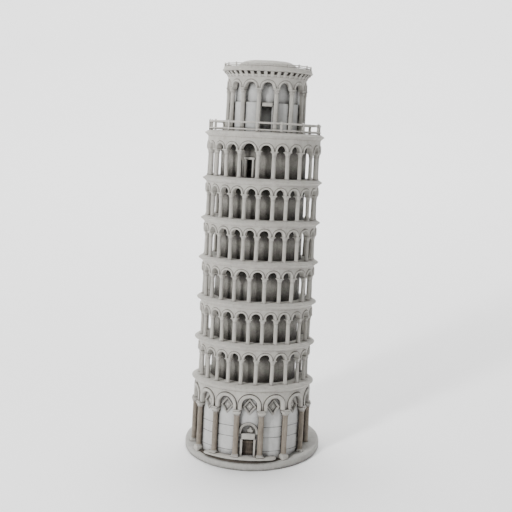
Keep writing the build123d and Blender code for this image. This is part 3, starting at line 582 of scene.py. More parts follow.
class Casting:
    """One piece under construction, in tower millimetres."""

    def __init__(self) -> None:
        """Starts with an empty mesh."""
        self.bm = bmesh.new()

    def lathe(self, profile: Profile, segments: int = 160,
              closed: bool = False) -> list[bmesh.types.BMVert]:
        """Turns a profile about the tower's axis.

        Args:
            profile: (radius, height) points, from the bottom up and outside.
            segments: steps round the circle.
            closed: whether the last point joins the first.

        Returns:
            The new vertices.
        """
        start = [self.bm.verts.new((r, 0.0, z)) for r, z in profile]
        pairs = list(zip(start, start[1:]))
        if closed:
            pairs.append((start[-1], start[0]))
        edges = [self.bm.edges.new(pair) for pair in pairs]
        before = set(self.bm.verts)
        bmesh.ops.spin(self.bm, geom=[*start, *edges], cent=(0, 0, 0), axis=(0, 0, 1),
                       angle=math.tau, steps=segments, use_merge=True, use_duplicate=False)
        made = [v for v in self.bm.verts if v not in before or v in start]
        bmesh.ops.remove_doubles(self.bm, verts=made, dist=1e-5)
        return [v for v in made if v.is_valid]

    def block(self, size: tuple[float, float, float], place: Matrix, bevel: float = 0.15,
              segments: int = 2) -> list[bmesh.types.BMVert]:
        """Adds a box with rounded edges.

        Args:
            size: lengths along the box's own axes.
            place: where the middle of the box goes.
            bevel: radius of the edges.
            segments: steps across each rounded edge.

        Returns:
            The new vertices.
        """
        stretched = place @ Matrix.Diagonal((*size, 1.0))
        made = bmesh.ops.create_cube(self.bm, size=1.0, matrix=stretched)["verts"]
        edges = list(dict.fromkeys(e for v in made for e in v.link_edges))
        done = bmesh.ops.bevel(self.bm, geom=edges, offset=bevel, segments=segments, profile=0.5,
                               affect="EDGES", material=-1, clamp_overlap=True)
        return list({*done["verts"], *(v for v in made if v.is_valid)})

    def sheet(self, across: int, along: int,
              where: Callable[[int, int], Vector]) -> list[bmesh.types.BMVert]:
        """Adds a grid and puts each of its vertices where a rule says.

        Args:
            across: vertices in a row.
            along: rows.
            where: gives a vertex's place from its column and row.

        Returns:
            The new vertices.
        """
        made = bmesh.ops.create_grid(self.bm, x_segments=across - 1, y_segments=along - 1,
                                     size=1.0)["verts"]
        for vert in made:
            column = round((vert.co.x + 1) / 2 * (across - 1))
            row = round((vert.co.y + 1) / 2 * (along - 1))
            vert.co = where(column, row)
        return made

    def copies(self, unit: "Casting", places: Iterable[Matrix], rng: random.Random | None = None,
               play: float = 0.0) -> None:
        """Adds copies of another casting.

        Args:
            unit: the piece to repeat, standing on its own origin.
            places: where each copy goes.
            rng: source of small differences between copies.
            play: size of those differences, as a part of the whole.
        """
        mesh = bpy.data.meshes.new("unit")
        for place in places:
            wobble = Matrix.Identity(4)
            if rng and play:
                wide = 1 + rng.uniform(-play, play)
                wobble = (Matrix.Rotation(rng.uniform(-play, play) * TILT_SHARE, 4, "X")
                          @ Matrix.Rotation(rng.uniform(-play, play) * TILT_SHARE, 4, "Y")
                          @ Matrix.Diagonal((wide, wide, 1.0, 1.0)))
            copy = unit.bm.copy()
            bmesh.ops.transform(copy, matrix=place @ wobble, verts=copy.verts)
            copy.to_mesh(mesh)
            copy.free()
            self.bm.from_mesh(mesh)
        bpy.data.meshes.remove(mesh)

    def fill(self) -> None:
        """Closes every open edge loop with a face."""
        open_edges = [e for e in self.bm.edges if e.is_boundary]
        bmesh.ops.holes_fill(self.bm, edges=open_edges, sides=0)

    def square_off(self, low: float, span: float, amount: float, leaf: float) -> None:
        """Swells a turned bell towards a square at its top, with eight shallow leaves.

        Args:
            low: height where the bell starts.
            span: height that it takes.
            amount: how square the top becomes, 0 to 1.
            leaf: depth of the leaves, as a part of the radius.
        """
        for vert in self.bm.verts:
            if vert.co.z > low and vert.co.xy.length > 1e-4:
                t = min((vert.co.z - low) / span, 1.0)
                a = math.atan2(vert.co.y, vert.co.x)
                square = 1 / max(abs(math.cos(a)), abs(math.sin(a)))
                leaves = leaf * math.cos(8 * a) * math.sin(math.pi * t)
                vert.co.xy *= 1 + t * (square - 1) * amount + leaves

    def ripple(self, size: float, reach: float, seed: float = 0.0) -> None:
        """Moves the surface in and out a little, as a hand-finished master has it.

        Args:
            size: largest movement, in millimetres.
            reach: distance between bumps, in millimetres.
            seed: shifts the pattern.
        """
        for vert in self.bm.verts:
            vert.co += noise.noise_vector(vert.co / reach + Vector((seed, seed, seed))) * size

    def finish(self, name: str, frame: TowerFrame | None, material: bpy.types.Material, slot: Slot,
               nodes: Sequence[str], smooth: float = 40.0, cut: float | None = None) -> bpy.types.Object:
        """Closes the mesh, places it and makes it a piece of the model.

        Args:
            name: the piece's name.
            frame: the leaning frame, or None for a piece that stands level.
            material: its finish.
            slot: the record's slot for its finish; not used.
            nodes: the CAD nodes that it stands for.
            smooth: edges flatter than this many degrees are shaded smooth.
            cut: height in millimetres below which the placed piece is cut off level.

        Returns:
            The new object.
        """
        bm = self.bm
        place = frame.matrix() if frame else Matrix.Scale(MM, 4)
        bmesh.ops.transform(bm, matrix=place, verts=bm.verts)
        bmesh.ops.remove_doubles(bm, verts=bm.verts, dist=2e-6)
        if cut is not None:
            geom = [*bm.verts, *bm.edges, *bm.faces]
            bmesh.ops.bisect_plane(bm, geom=geom, plane_co=(0, 0, cut * MM), plane_no=(0, 0, 1),
                                   clear_inner=True)
            self.fill()
        bmesh.ops.recalc_face_normals(bm, faces=bm.faces)
        mesh = bpy.data.meshes.new(name)
        bm.to_mesh(mesh)
        bm.free()
        mesh.shade_smooth()
        mesh.set_sharp_from_angle(angle=math.radians(smooth))
        mesh.materials.append(material)
        piece = bpy.data.objects.new(name, mesh)
        bpy.context.scene.collection.objects.link(piece)
        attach(piece, "root")
        if nodes:
            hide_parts(*nodes)
        LOG.info("%s: %d faces", name, len(mesh.polygons))
        return piece


# --------------------------------------------------------------------------------------------
# Repeated units
# --------------------------------------------------------------------------------------------


@dataclass(frozen=True)
class Column:
    """A round column with a moulded foot, a leafy bell capital and a square abacus.

    Attributes:
        height: from the floor to the top of the abacus, in millimetres.
        shaft: radius of the shaft.
        foot: radius of the foot.
        abacus: side of the abacus.
        abacus_thick: thickness of the abacus.
        capital: height of the capital with its abacus.
        segments: steps round the shaft.
    """

    height: float
    shaft: float = 1.5
    foot: float = 2.0
    abacus: float = 5.1
    abacus_thick: float = 0.9
    capital: float = 3.4
    segments: int = 20

    def build(self) -> Casting:
        """Makes the column on its own origin.

        Returns:
            The casting.
        """
        s, f, h = self.shaft, self.foot, self.height
        bell, shelf = h - self.capital, h - self.abacus_thick
        unit = Casting()
        unit.lathe([
            (0.0, 0.0), (f, 0.0), (f * 1.02, 0.18), (f, 0.38), (s * 1.16, 0.62), (s * 1.26, 0.85),
            (s * 1.24, 1.10), (s * 1.06, 1.34), (s, 1.9), (s * 1.01, h * 0.35), (s * 0.97, h * 0.6),
            (s * 0.93, bell - 0.55), (s * 1.20, bell - 0.42), (s * 1.26, bell - 0.20),
            (s * 1.04, bell - 0.02), (s * 1.02, bell + 0.35), (s * 1.18, bell + 0.85),
            (self.abacus * 0.33, (bell + shelf) / 2 + 0.30), (self.abacus * 0.40, shelf - 0.40),
            (self.abacus * 0.43, shelf - 0.15), (self.abacus * 0.41, shelf), (0.0, shelf)], self.segments)
        unit.square_off(bell, shelf - bell, 0.8, 0.05)
        unit.block((self.abacus, self.abacus, self.abacus_thick),
                   Matrix.Translation((0, 0, h - self.abacus_thick / 2)), 0.2)
        return unit


@dataclass(frozen=True)
class Post:
    """A square railing post with a pointed cap.

    Attributes:
        size: side of the post, in millimetres.
        height: to the shoulder.
        point: height of the cap.
    """

    size: float
    height: float
    point: float

    def build(self) -> Casting:
        """Makes the post on its own origin.

        Returns:
            The casting.
        """
        unit = Casting()
        unit.block((self.size, self.size, self.height - 0.1),
                   Matrix.Translation((0, 0, (self.height + 0.1) / 2)), 0.14)
        collar = self.size * 1.12
        unit.block((collar, collar, 0.35), Matrix.Translation((0, 0, self.height - 0.25)), 0.12)
        tip = (Matrix.Translation((0, 0, self.height + self.point / 2 - 0.1))
               @ Matrix.Rotation(math.pi / 4, 4, "Z"))
        bmesh.ops.create_cone(unit.bm, cap_ends=True, segments=4, radius1=self.size * 0.62,
                              radius2=self.size * 0.16, depth=self.point, matrix=tip)
        return unit


ARCH_STEPS, LEG_STEPS, SIDE_STEPS = 22, 3, 7   # of an arch, its straight foot, a bay's side
WELD = 1e-3                                    # points closer than this are one


def arch_point(index: int, radius: float, foot: float, centre: float) -> tuple[float, float]:
    """Gives a point of a round arch on straight legs.

    Args:
        index: the point's number along the arch.
        radius: the arch's radius.
        foot: height where the legs start.
        centre: height of the arch's centre.

    Returns:
        Distance to the side and height.
    """
    if index < LEG_STEPS or index > ARCH_STEPS - LEG_STEPS:
        side = -1 if index < LEG_STEPS else 1
        step = index if index < LEG_STEPS else ARCH_STEPS - index
        return side * radius, foot + (centre - foot) * step / LEG_STEPS
    turn = math.pi * (1 - (index - LEG_STEPS) / (ARCH_STEPS - 2 * LEG_STEPS))
    return radius * math.cos(turn), centre + radius * math.sin(turn)


@dataclass(frozen=True)
class ArcadeWall:
    """A round wall pierced by round arches with a moulded archivolt over each.

    Attributes:
        angles: angles of the columns under it, in degrees.
        spring: height of its foot, on the abaci.
        top: height of its top.
        inner: radius of its back.
        wall: radius of its face.
        ring: radius of the ring of columns.
        pier: half the width of wall left over each capital.
        rise: height of the arch's crown over the foot.
        moulding: (distance from the opening's edge, how far it stands out) across the archivolt.
        largest: largest radius of an opening.
    """

    angles: Sequence[float]
    spring: float
    top: float
    inner: float
    wall: float
    ring: float
    pier: float
    rise: float
    moulding: Profile
    largest: float = 99.0

    def _frame(self, index: int, half: float) -> tuple[float, float]:
        """Gives a point of the bay's outer edge: up one side, across the top and down.

        Args:
            index: the point's number along the path.
            half: half the width of the bay.

        Returns:
            Distance to the side and height.
        """
        last, side = ARCH_STEPS, SIDE_STEPS
        if index <= side or index >= last - side:
            step = index if index <= side else last - index
            height = self.spring + (self.top - self.spring) * step / side
            return (-half if index <= side else half), height
        return -half + 2 * half * (index - side) / (last - 2 * side), self.top

    def build(self) -> Casting:
        """Makes the whole ring.

        Returns:
            The casting.
        """
        ring = Casting()
        moulding = ((reach, self.wall + out) for reach, out in self.moulding)
        rails = [(None, self.inner), (0.0, self.inner), *moulding, (None, self.wall)]
        for middle, width in bays(self.angles):
            half = math.radians(width) / 2 * self.ring
            radius = min(half - self.pier, self.largest)
            centre = self.spring + max(self.rise - radius, 0.1)

            def where(column: int, row: int) -> Vector:
                reach, out = rails[row]
                if reach is None:
                    x, z = self._frame(column, half)
                else:
                    x, z = arch_point(column, radius + reach, self.spring, centre)
                return on_ring(math.radians(middle) + x / self.ring, out, z)

            ring.sheet(ARCH_STEPS + 1, len(rails), where)
        bmesh.ops.remove_doubles(ring.bm, verts=ring.bm.verts, dist=WELD)
        top = [e for e in ring.bm.edges
               if e.is_boundary and all(abs(v.co.z - self.top) < WELD for v in e.verts)]
        bmesh.ops.bridge_loops(ring.bm, edges=top)
        ring.fill()
        return ring


def arc_bar(casting: Casting, outline: Profile, first: float, last: float, steps: int,
            taper: Callable[[float], float] = lambda t: 1.0) -> None:
    """Sweeps a closed outline round part of a circle.

    Args:
        casting: the piece it is added to.
        outline: (radius, height) corners.
        first: angle where the bar starts, in degrees.
        last: angle where it ends.
        steps: vertices along it.
        taper: factor on the radius at each part of the way.
    """
    loop = [*outline, outline[0]]

    def where(column: int, row: int) -> Vector:
        t = column / (steps - 1)
        turn = math.radians(first + (last - first) * t)
        return on_ring(turn, loop[row][0] * taper(t), loop[row][1])

    made = casting.sheet(steps, len(loop), where)
    bmesh.ops.remove_doubles(casting.bm, verts=made, dist=1e-4)
    casting.fill()


# --------------------------------------------------------------------------------------------
# Sub-assemblies
# --------------------------------------------------------------------------------------------


@dataclass
class Assembly:
    """A group of pieces that belong together.

    Attributes:
        frame: the leaning frame.
        palette: the finishes.
        nodes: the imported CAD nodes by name.
        rng: source of small differences.
    """

    frame: TowerFrame
    palette: Palette
    nodes: dict[str, bpy.types.Object]
    rng: random.Random

    def dress(self, node: str, material: bpy.types.Material) -> None:
        """Gives a CAD node that stays visible its finish.

        Args:
            node: the node's name.
            material: its finish.
        """
        for item in self.nodes[node].material_slots:
            item.material = material
        LOG.info("%s: finish %s", node, material.name)

    def stone(self, casting: Casting, node: str, name: str = "", cut: float | None = None) -> None:
        """Makes a casting with the stone finish stand for one CAD node.

        Args:
            casting: the piece.
            node: the CAD node.
            name: start of the piece's name, if it isn't the node's.
            cut: height in millimetres below which the piece is cut off level.
        """
        casting.finish(f"{name or node}_cast", self.frame, self.palette.stone, Slot.TOWER, [node], cut=cut)


@dataclass
class BaseDisc(Assembly):
    """The round disc, the low plinth that comes out of it and the entrance step.

    Attributes:
        radius: radius of the disc, in millimetres.
        plinth: radius of the plinth.
    """

    radius: float = 54.8
    plinth: float = 46.6

    def build(self) -> None:
        """Makes the three pieces."""
        r, t = self.radius, DISC_TOP
        disc = Casting()
        disc.lathe([(0, 0), (r - 0.9, 0), (r - 0.45, 0.2), (r - 0.1, 0.8), (r, 2.0), (r - 0.02, t - 1.5),
                    (r - 0.25, t - 0.7), (r - 0.8, t - 0.25), (r - 1.7, t - 0.05), (r - 4, t), (46.0, t),
                    (38, t - 0.02), (20, t), (0, t)], 192)
        disc.ripple(0.10, 11.0)
        for vert in disc.bm.verts:
            vert.co.z = max(vert.co.z, 0.0)
        disc.finish("base_disc_cast", None, self.palette.disc, Slot.DISC, ["base_disc"])

        plinth = Casting()
        p = self.plinth
        plinth.lathe([(42.6, -12), (p, -12), (p, 0.4), (p - 0.2, 0.9), (p - 0.8, 1.2), (42.6, 1.2)],
                     closed=True)
        plinth.ripple(0.15, 7.0)
        # The plinth takes the near-black painted shade under the step.
        plinth.finish("plinth_cast", self.frame, self.palette.gap, Slot.TOWER, ["plinth"],
                      cut=DISC_TOP - LEVEL_CUT)

        step = Casting()
        arc_bar(step, [(42.6, 1.3), (48.9, 1.3), (49.4, 1.6), (49.5, 2.3), (49.1, 2.8), (48.4, 3.0),
                       (42.6, 3.0)], STEP_FROM, STEP_TO, 64, self._taper)
        step.ripple(0.18, 6.0, 3.0)
        self.stone(step, "entrance_step", cut=DISC_TOP - LEVEL_CUT)

    @staticmethod
    def _taper(way: float) -> float:
        """Draws the step in at its ends, more at the right.

        Args:
            way: part of the way along the step, 0 to 1.

        Returns:
            Factor on the radius.
        """
        return 1 - 0.06 * max(0.0, (way - 0.93) / 0.07) - 0.02 * max(0.0, 0.04 - way) / 0.04


@dataclass
class GroundStorey(Assembly):
    """Blind arcade on engaged columns, lozenges and the portal.

    Attributes:
        count: how many columns there are.
        ring: radius of the ring of columns, in millimetres.
        wall: radius of the wall.
        shaft: radius of a shaft.
        base_top: height of the top of the bases.
        shaft_top: height of the top of the shafts.
        impost: height of the top of the imposts.
        portal: angle of the portal.
    """

    count: int = 15
    ring: float = 45.5
    wall: float = 43.0
    shaft: float = 2.1
    base_top: float = 5.2
    shaft_top: float = 36.0
    impost: float = 40.4
    portal: float = -2.2

    LOZENGE_WIDE, LOZENGE_TALL, LOZENGE_UP = 5.4, 6.6, 42.6    # half sizes, height of the middle
    LOZENGE_RING, LOZENGE_SIDE = 43.5, 5                       # radius it is laid out on, steps a side
    FRAME_ROWS = ((1.0, 42.8), (1.0, 43.8), (0.965, 44.05), (0.90, 44.1), (0.86, 43.85), (0.83, 43.8),
                  (0.79, 43.95), (0.74, 43.8), (0.72, 43.4), (0.72, 41.8))
    PANEL_ROWS = ((0.49, 41.5), (0.48, 42.0), (0.43, 42.25), (0.36, 42.2), (0.30, 42.0), (0.26, 42.3),
                  (0.18, 42.4), (0.08, 42.35), (0.0, 42.45))
    MOULDING = ((0.0, 0.15), (0.12, 0.60), (0.45, 0.86), (0.95, 0.92), (1.30, 0.98), (1.75, 1.10),
                (2.15, 1.14), (2.50, 1.05), (2.72, 0.65), (2.82, 0.0), (2.95, -0.45), (3.20, -0.48),
                (3.36, 0.0))
    HOOD_ROWS = ((0.0, 42.3), (0.0, 43.9), (0.2, 44.4), (0.55, 44.6), (0.85, 44.35), (1.0, 44.4),
                 (1.3, 44.7), (1.55, 44.6), (1.68, 44.1), (1.7, 42.3))
    HOOD_RADIUS, HOOD_FOOT, HOOD_CENTRE = 5.8, 21.1, 22.4
    # Rounded boxes of the portal: size, radius, height, bevel, steps of the bevel.
    PLANK = (((0.8, 1.6, 13.0), 40.2, 10.1, 0.1, 2),)
    DOOR_BARS = (((0.9, 8.0, 0.9), 40.5, 6.0, 0.15, 2), ((0.9, 8.0, 0.9), 40.5, 14.0, 0.15, 2))
    JAMB = (((2.2, 1.7, 13.4), 43.0, 9.9, 0.35, 3), ((2.4, 1.75, 0.9), 42.9, 3.6, 0.3, 2),
            ((2.3, 1.75, 0.8), 42.9, 16.1, 0.3, 2))
    LINTEL = (((2.6, 10.4, 3.3), 42.9, 18.9, 0.35, 3), ((2.9, 10.7, 0.8), 42.95, 17.3, 0.3, 2),
              ((2.9, 10.9, 0.8), 42.95, 20.6, 0.3, 2))
    # Lumps of the relief: size, shift to the side, shift upwards.
    RELIEF = (((1.6, 3.6, 3.4), 0.9, 1.6), ((1.8, 2.8, 2.6), 2.6, 1.3), ((1.4, 2.0, 2.0), 1.6, 3.7))

    def build(self) -> None:
        """Makes every piece of the storey."""
        angles = whole_circle(GROUND_FRONT, self.count)
        self.dress("ground_drum", self.palette.wall)
        self._bases(angles)
        self._shafts(angles)
        self._capitals(angles)
        arcade = ArcadeWall(angles, spring=self.impost, top=55.2, inner=self.wall, wall=46.0, ring=self.ring,
                            pier=2.7, rise=9.7, moulding=self.MOULDING, largest=6.1).build()
        arcade.ripple(0.10, 6.0, 5.0)
        self.stone(arcade, "ground_arcade")
        self._lozenges(angles)
        self._portal()

    def _bases(self, angles: Sequence[float]) -> None:
        """Makes the moulded bases.

        Args:
            angles: the columns' angles.
        """
        bases = Casting()
        for angle in angles:
            low = 3.0 if STEP_FROM < angle < STEP_TO else -3.0
            unit = Casting()
            unit.block((5.4, 5.9, 4.25 - low), Matrix.Translation((0.35, 0, (4.25 + low) / 2)), 0.5, 3)
            unit.lathe([(0, 4.1), (2.65, 4.1), (2.8, 4.4), (2.65, 4.72), (2.3, 4.85), (2.25, 5.0),
                        (2.45, 5.1), (2.3, 5.25), (0, 5.3)], 24)
            bases.copies(unit, [around(angle, self.ring, 0.0)], self.rng, 0.03)
        bases.ripple(0.16, 3.0, 9.0)
        self.stone(bases, "ground_column_bases", cut=DISC_TOP - LEVEL_CUT)

    def _shafts(self, angles: Sequence[float]) -> None:
        """Makes the tan shafts.

        Args:
            angles: the columns' angles.
        """
        low, top, s = self.base_top - 0.1, self.shaft_top, self.shaft
        unit = Casting()
        unit.lathe([(0, low), (s * 1.04, low), (s * 1.05, low + 0.5), (s * 0.99, low + 1.0), (s, low + 8),
                    (s * 1.01, low + 15), (s * 0.98, low + 23), (s * 0.95, top - 0.9), (s * 1.06, top - 0.7),
                    (s * 1.08, top - 0.3), (s, top), (0, top)], 28)
        shafts = Casting()
        shafts.copies(unit, [around(a, self.ring, 0.0) for a in angles], self.rng, 0.02)
        shafts.ripple(0.12, 5.0, 2.0)
        shafts.finish("ground_column_shafts_cast", self.frame, self.palette.tan, Slot.TAN,
                      ["ground_column_shafts"], cut=DISC_TOP - LEVEL_CUT)

    def _capitals(self, angles: Sequence[float]) -> None:
        """Makes the leafy capitals and the impost blocks over them.

        Args:
            angles: the columns' angles.
        """
        high = self.impost - self.shaft_top
        unit = Casting()
        unit.lathe([(0, -0.05), (2.35, -0.05), (2.75, 0.1), (2.78, 0.35), (2.45, 0.5), (2.5, 0.9),
                    (2.8, 1.4), (3.0, 1.9), (3.2, 2.3), (3.1, 2.6), (0, 2.6)], 32)
        unit.square_off(0.45, 2.2, 0.6, 0.07)
        unit.block((6.2, 6.2, 0.7), Matrix.Translation((0, 0, 2.85)), 0.22)
        unit.block((5.4, 5.4, high - 3.1), Matrix.Translation((0, 0, (high + 3.1) / 2)), 0.3)
        capitals = Casting()
        capitals.copies(unit, [around(a, self.ring - 0.1, self.shaft_top) for a in angles], self.rng, 0.02)
        capitals.ripple(0.12, 3.0, 4.0)
        self.stone(capitals, "ground_column_capitals")

    def _diamond(self, angle: float, rows: Profile, casting: Casting) -> None:
        """Adds a lozenge moulding bent to the wall.

        Args:
            angle: middle of the lozenge, in degrees.
            rows: (size as a part of the whole, radius) across the moulding.
            casting: the piece that it is added to.
        """
        wide, tall, side = self.LOZENGE_WIDE, self.LOZENGE_TALL, self.LOZENGE_SIDE
        ends = [(wide, 0.0), (0.0, tall), (-wide, 0.0), (0.0, -tall), (wide, 0.0)]

        def where(column: int, row: int) -> Vector:
            edge, part = divmod(column, side)
            if edge == 4:
                edge, part = 3, side
            (x0, z0), (x1, z1) = ends[edge], ends[edge + 1]
            t = part / side
            scale, radius = rows[row]
            turn = math.radians(angle) + (x0 + (x1 - x0) * t) * scale / self.LOZENGE_RING
            return on_ring(turn, radius, self.LOZENGE_UP + (z0 + (z1 - z0) * t) * scale)

        casting.sheet(4 * side + 1, len(rows), where)

    def _lozenges(self, angles: Sequence[float]) -> None:
        """Makes the lozenge frames and the stepped panels in them.

        Args:
            angles: the columns' angles.
        """
        frames, panels = Casting(), Casting()
        for middle, _ in bays(angles):
            self._diamond(middle, self.FRAME_ROWS, frames)
            self._diamond(middle, self.PANEL_ROWS, panels)
        for casting, node in ((frames, "lozenge_frames"), (panels, "lozenge_panels")):
            casting.ripple(0.06, 3.0, 7.0)
            self.stone(casting, node)

    def _boxes(self, casting: Casting, rows: Sequence[Box], sides: Sequence[float] = (0.0,)) -> None:
        """Adds rounded boxes at the portal.

        Args:
            casting: the piece they are added to.
            rows: the boxes.
            sides: shifts to the side at which they are all repeated.
        """
        for side in sides:
            for size, radius, height, bevel, steps in rows:
                casting.block(size, around(self.portal, radius, height, side), bevel, steps)

    def _portal(self) -> None:
        """Makes the door leaf, jambs, lintel, relief and hood."""
        door, jambs, lintel, relief, hood = (Casting() for _ in range(5))
        self._boxes(door, self.PLANK, [(index - 2) * 1.64 for index in range(5)])
        self._boxes(door, self.DOOR_BARS)
        door.finish("portal_door_cast", self.frame, self.palette.door, Slot.DOOR, ["portal_door"])
        self._boxes(jambs, self.JAMB, (-5.2, 5.2))
        jambs.ripple(0.10, 4.0)
        self.stone(jambs, "portal_jambs")
        self._boxes(lintel, self.LINTEL)
        lintel.ripple(0.10, 4.0)
        self.stone(lintel, "portal_lintel")
        here = around(self.portal, 40.2, 21.2)
        for size, side, up in self.RELIEF:
            relief.block(size, here @ Matrix.Translation((0, side, up)), 0.8, 4)
        relief.ripple(0.12, 2.0)
        self.stone(relief, "portal_relief")

        def where(column: int, row: int) -> Vector:
            reach, radius = self.HOOD_ROWS[row]
            x, z = arch_point(column, self.HOOD_RADIUS + reach, self.HOOD_FOOT, self.HOOD_CENTRE)
            return on_ring(math.radians(self.portal) + x / self.wall, radius, z)

        hood.sheet(ARCH_STEPS + 1, len(self.HOOD_ROWS), where)
        hood.ripple(0.06, 4.0)
        self.stone(hood, "portal_hood")


@dataclass
class Gallery(Assembly):
    """One open gallery: drum, free-standing columns and arcade.

    Attributes:
        storey: its number, two to seven.
        front: angles of the columns given for the front.
        abacus_top: height of the abaci over the floor.
    """

    storey: int = 2
    front: tuple[float, ...] = ()
    abacus_top: float = ABACUS_TOP

    MOULDING = ((0.0, 0.15), (0.10, 0.45), (0.35, 0.66), (0.75, 0.74), (1.10, 0.68), (1.35, 0.45),
                (1.45, 0.05), (1.60, -0.16), (1.80, -0.18), (1.95, 0.0))
    DOORWAY_ANGLE, DOORWAY_RADIUS = -19.0, 33.9

    def build(self) -> None:
        """Makes the columns and the arcade, and dresses the drum."""
        floor = CORNICE_TIPS[self.storey - 1][0] + CORNICE_ABOVE
        top = CORNICE_TIPS[self.storey][0] - CORNICE_BELOW
        angles = whole_circle(self.front, GALLERY_COLUMNS)
        self.dress(f"gallery_{self.storey}_drum", self.palette.core)
        columns = Casting()
        unit = Column(self.abacus_top + SINK).build()
        columns.copies(unit, [around(a, COLUMN_RING, floor - SINK) for a in angles], self.rng, 0.05)
        columns.ripple(0.09, 4.0, float(self.storey))
        self.stone(columns, f"gallery_{self.storey}_columns")
        arcade = ArcadeWall(angles, spring=floor + self.abacus_top, top=top, inner=40.7, wall=44.8,
                            ring=COLUMN_RING, pier=2.0, rise=4.4, moulding=self.MOULDING).build()
        arcade.ripple(0.09, 5.0, self.storey * 2.0)
        self.stone(arcade, f"gallery_{self.storey}_arcade")
        if self.storey == max(FRONT_COLUMNS):
            self._doorway(floor)

    def _doorway(self, floor: float) -> None:
        """Makes the frame of the doorway out of the stair.

        Args:
            floor: height of the gallery floor.
        """
        door = Casting()
        middle = around(self.DOORWAY_ANGLE, self.DOORWAY_RADIUS, floor)
        for side in (-3.0, 3.0):
            door.block((2.0, 1.4, 14.1), middle @ Matrix.Translation((0, side, 7.05)), 0.25)
            door.block((2.1, 1.5, 0.8), middle @ Matrix.Translation((0, side, 13.5)), 0.2)
        door.block((2.1, 8.5, 1.7), middle @ Matrix.Translation((0, 0, 15.0)), 0.3)
        door.ripple(0.08, 3.0)
        self.stone(door, "gallery_7_doorway")


@dataclass
class Cornices(Assembly):
    """The seven moulded rings that are also the gallery floors."""

    def build(self) -> None:
        """Makes every cornice."""
        for storey, (tip, radius) in CORNICE_TIPS.items():
            soffit = 47.3 if storey == 1 else 45.4
            r, z = radius - 0.1, tip
            ring = Casting()
            low, high = z - CORNICE_BELOW, z + CORNICE_ABOVE
            ring.lathe([
                (33.0, low), (soffit - 0.3, low), (soffit, z - 2.1), (soffit + 0.15, z - 1.75),
                (soffit + 0.55, z - 1.6), (soffit + (r - soffit) * 0.45, z - 1.0), (r - 0.35, z - 0.45),
                (r - 0.05, z - 0.2), (r, z), (r - 0.06, z + 0.25), (r - 0.4, z + 0.5), (r - 1.8, z + 1.35),
                (r - 3.0, z + 2.05), (r - 3.5, high), (33.0, high)], 192, closed=True)
            ring.ripple(0.14, 9.0, storey * 3.0)
            self.stone(ring, f"cornice_{storey}")


@dataclass
class Railing(Assembly):
    """A ring of posts with two round rails.

    Attributes:
        kind: prefix of the CAD nodes, terrace or roof.
        radius: radius of the ring.
        floor: height that it stands on.
        angles: angles of the posts.
        post: the post.
        rails: (height, bar radius) of the top and the bottom rail.
    """

    kind: str = "terrace"
    radius: float = 43.9
    floor: float = BELFRY_FLOOR
    angles: Sequence[float] = ()
    post: Post = Post(1.6, 7.6, 1.0)
    rails: tuple[tuple[float, float], tuple[float, float]] = ((6.8, 0.75), (1.5, 0.75))

    SIDES = 10                             # of a rail's section

    def build(self) -> None:
        """Makes the posts and the rails."""
        posts = Casting()
        places = [around(angle, self.radius, self.floor) for angle in self.angles]
        posts.copies(self.post.build(), places, self.rng, 0.06)
        posts.ripple(0.06, 2.0)
        self.stone(posts, f"{self.kind}_rail_posts", f"{self.kind}_posts")
        for (height, bar), level in zip(self.rails, ("top", "bottom")):
            rail = Casting()
            turns = [step * math.tau / self.SIDES for step in range(self.SIDES)]
            rail.lathe([(self.radius + bar * math.cos(t), self.floor + height + bar * math.sin(t))
                        for t in turns], 168, closed=True)
            rail.ripple(0.10, 9.0, height)
            self.stone(rail, f"{self.kind}_{level}_rail")


@dataclass
class Belfry(Assembly):
    """The narrow top storey: core, parapet, columns and arcade."""

    MOULDING = ((0.0, 0.15), (0.10, 0.42), (0.35, 0.62), (0.80, 0.68), (1.20, 0.60), (1.45, 0.38),
                (1.55, 0.05), (1.70, -0.16), (1.95, -0.18), (2.10, 0.0))

    def build(self) -> None:
        """Makes the columns, arcade and lintel, and dresses the core and parapet."""
        angles = [BELFRY_PHASE + 360 / BELFRY_COLUMNS * i for i in range(BELFRY_COLUMNS)]
        self.dress("belfry_core", self.palette.wall)
        self.dress("belfry_parapet", self.palette.wall)
        columns = Casting()
        unit = Column(BELFRY_SPRING - BELFRY_FLOOR + SINK, shaft=1.75, foot=2.2, abacus=4.6,
                      segments=24).build()
        places = [around(a, BELFRY_RING, BELFRY_FLOOR - SINK) for a in angles]
        columns.copies(unit, places, self.rng, 0.03)
        columns.ripple(0.09, 4.0, 8.0)
        self.stone(columns, "belfry_columns")
        arcade = ArcadeWall(angles, spring=BELFRY_SPRING, top=BELFRY_TOP, inner=27.4, wall=31.2,
                            ring=BELFRY_RING, pier=2.4, rise=4.6, moulding=self.MOULDING).build()
        arcade.ripple(0.09, 5.0, 11.0)
        self.stone(arcade, "belfry_arcade")
        lintel = Casting()
        lintel.block((2.0, 8.2, 2.7), around(BELFRY_DOOR, 28.3, 276.4), 0.25)
        lintel.ripple(0.06, 3.0)
        self.stone(lintel, "belfry_door_lintel", "belfry_lintel")


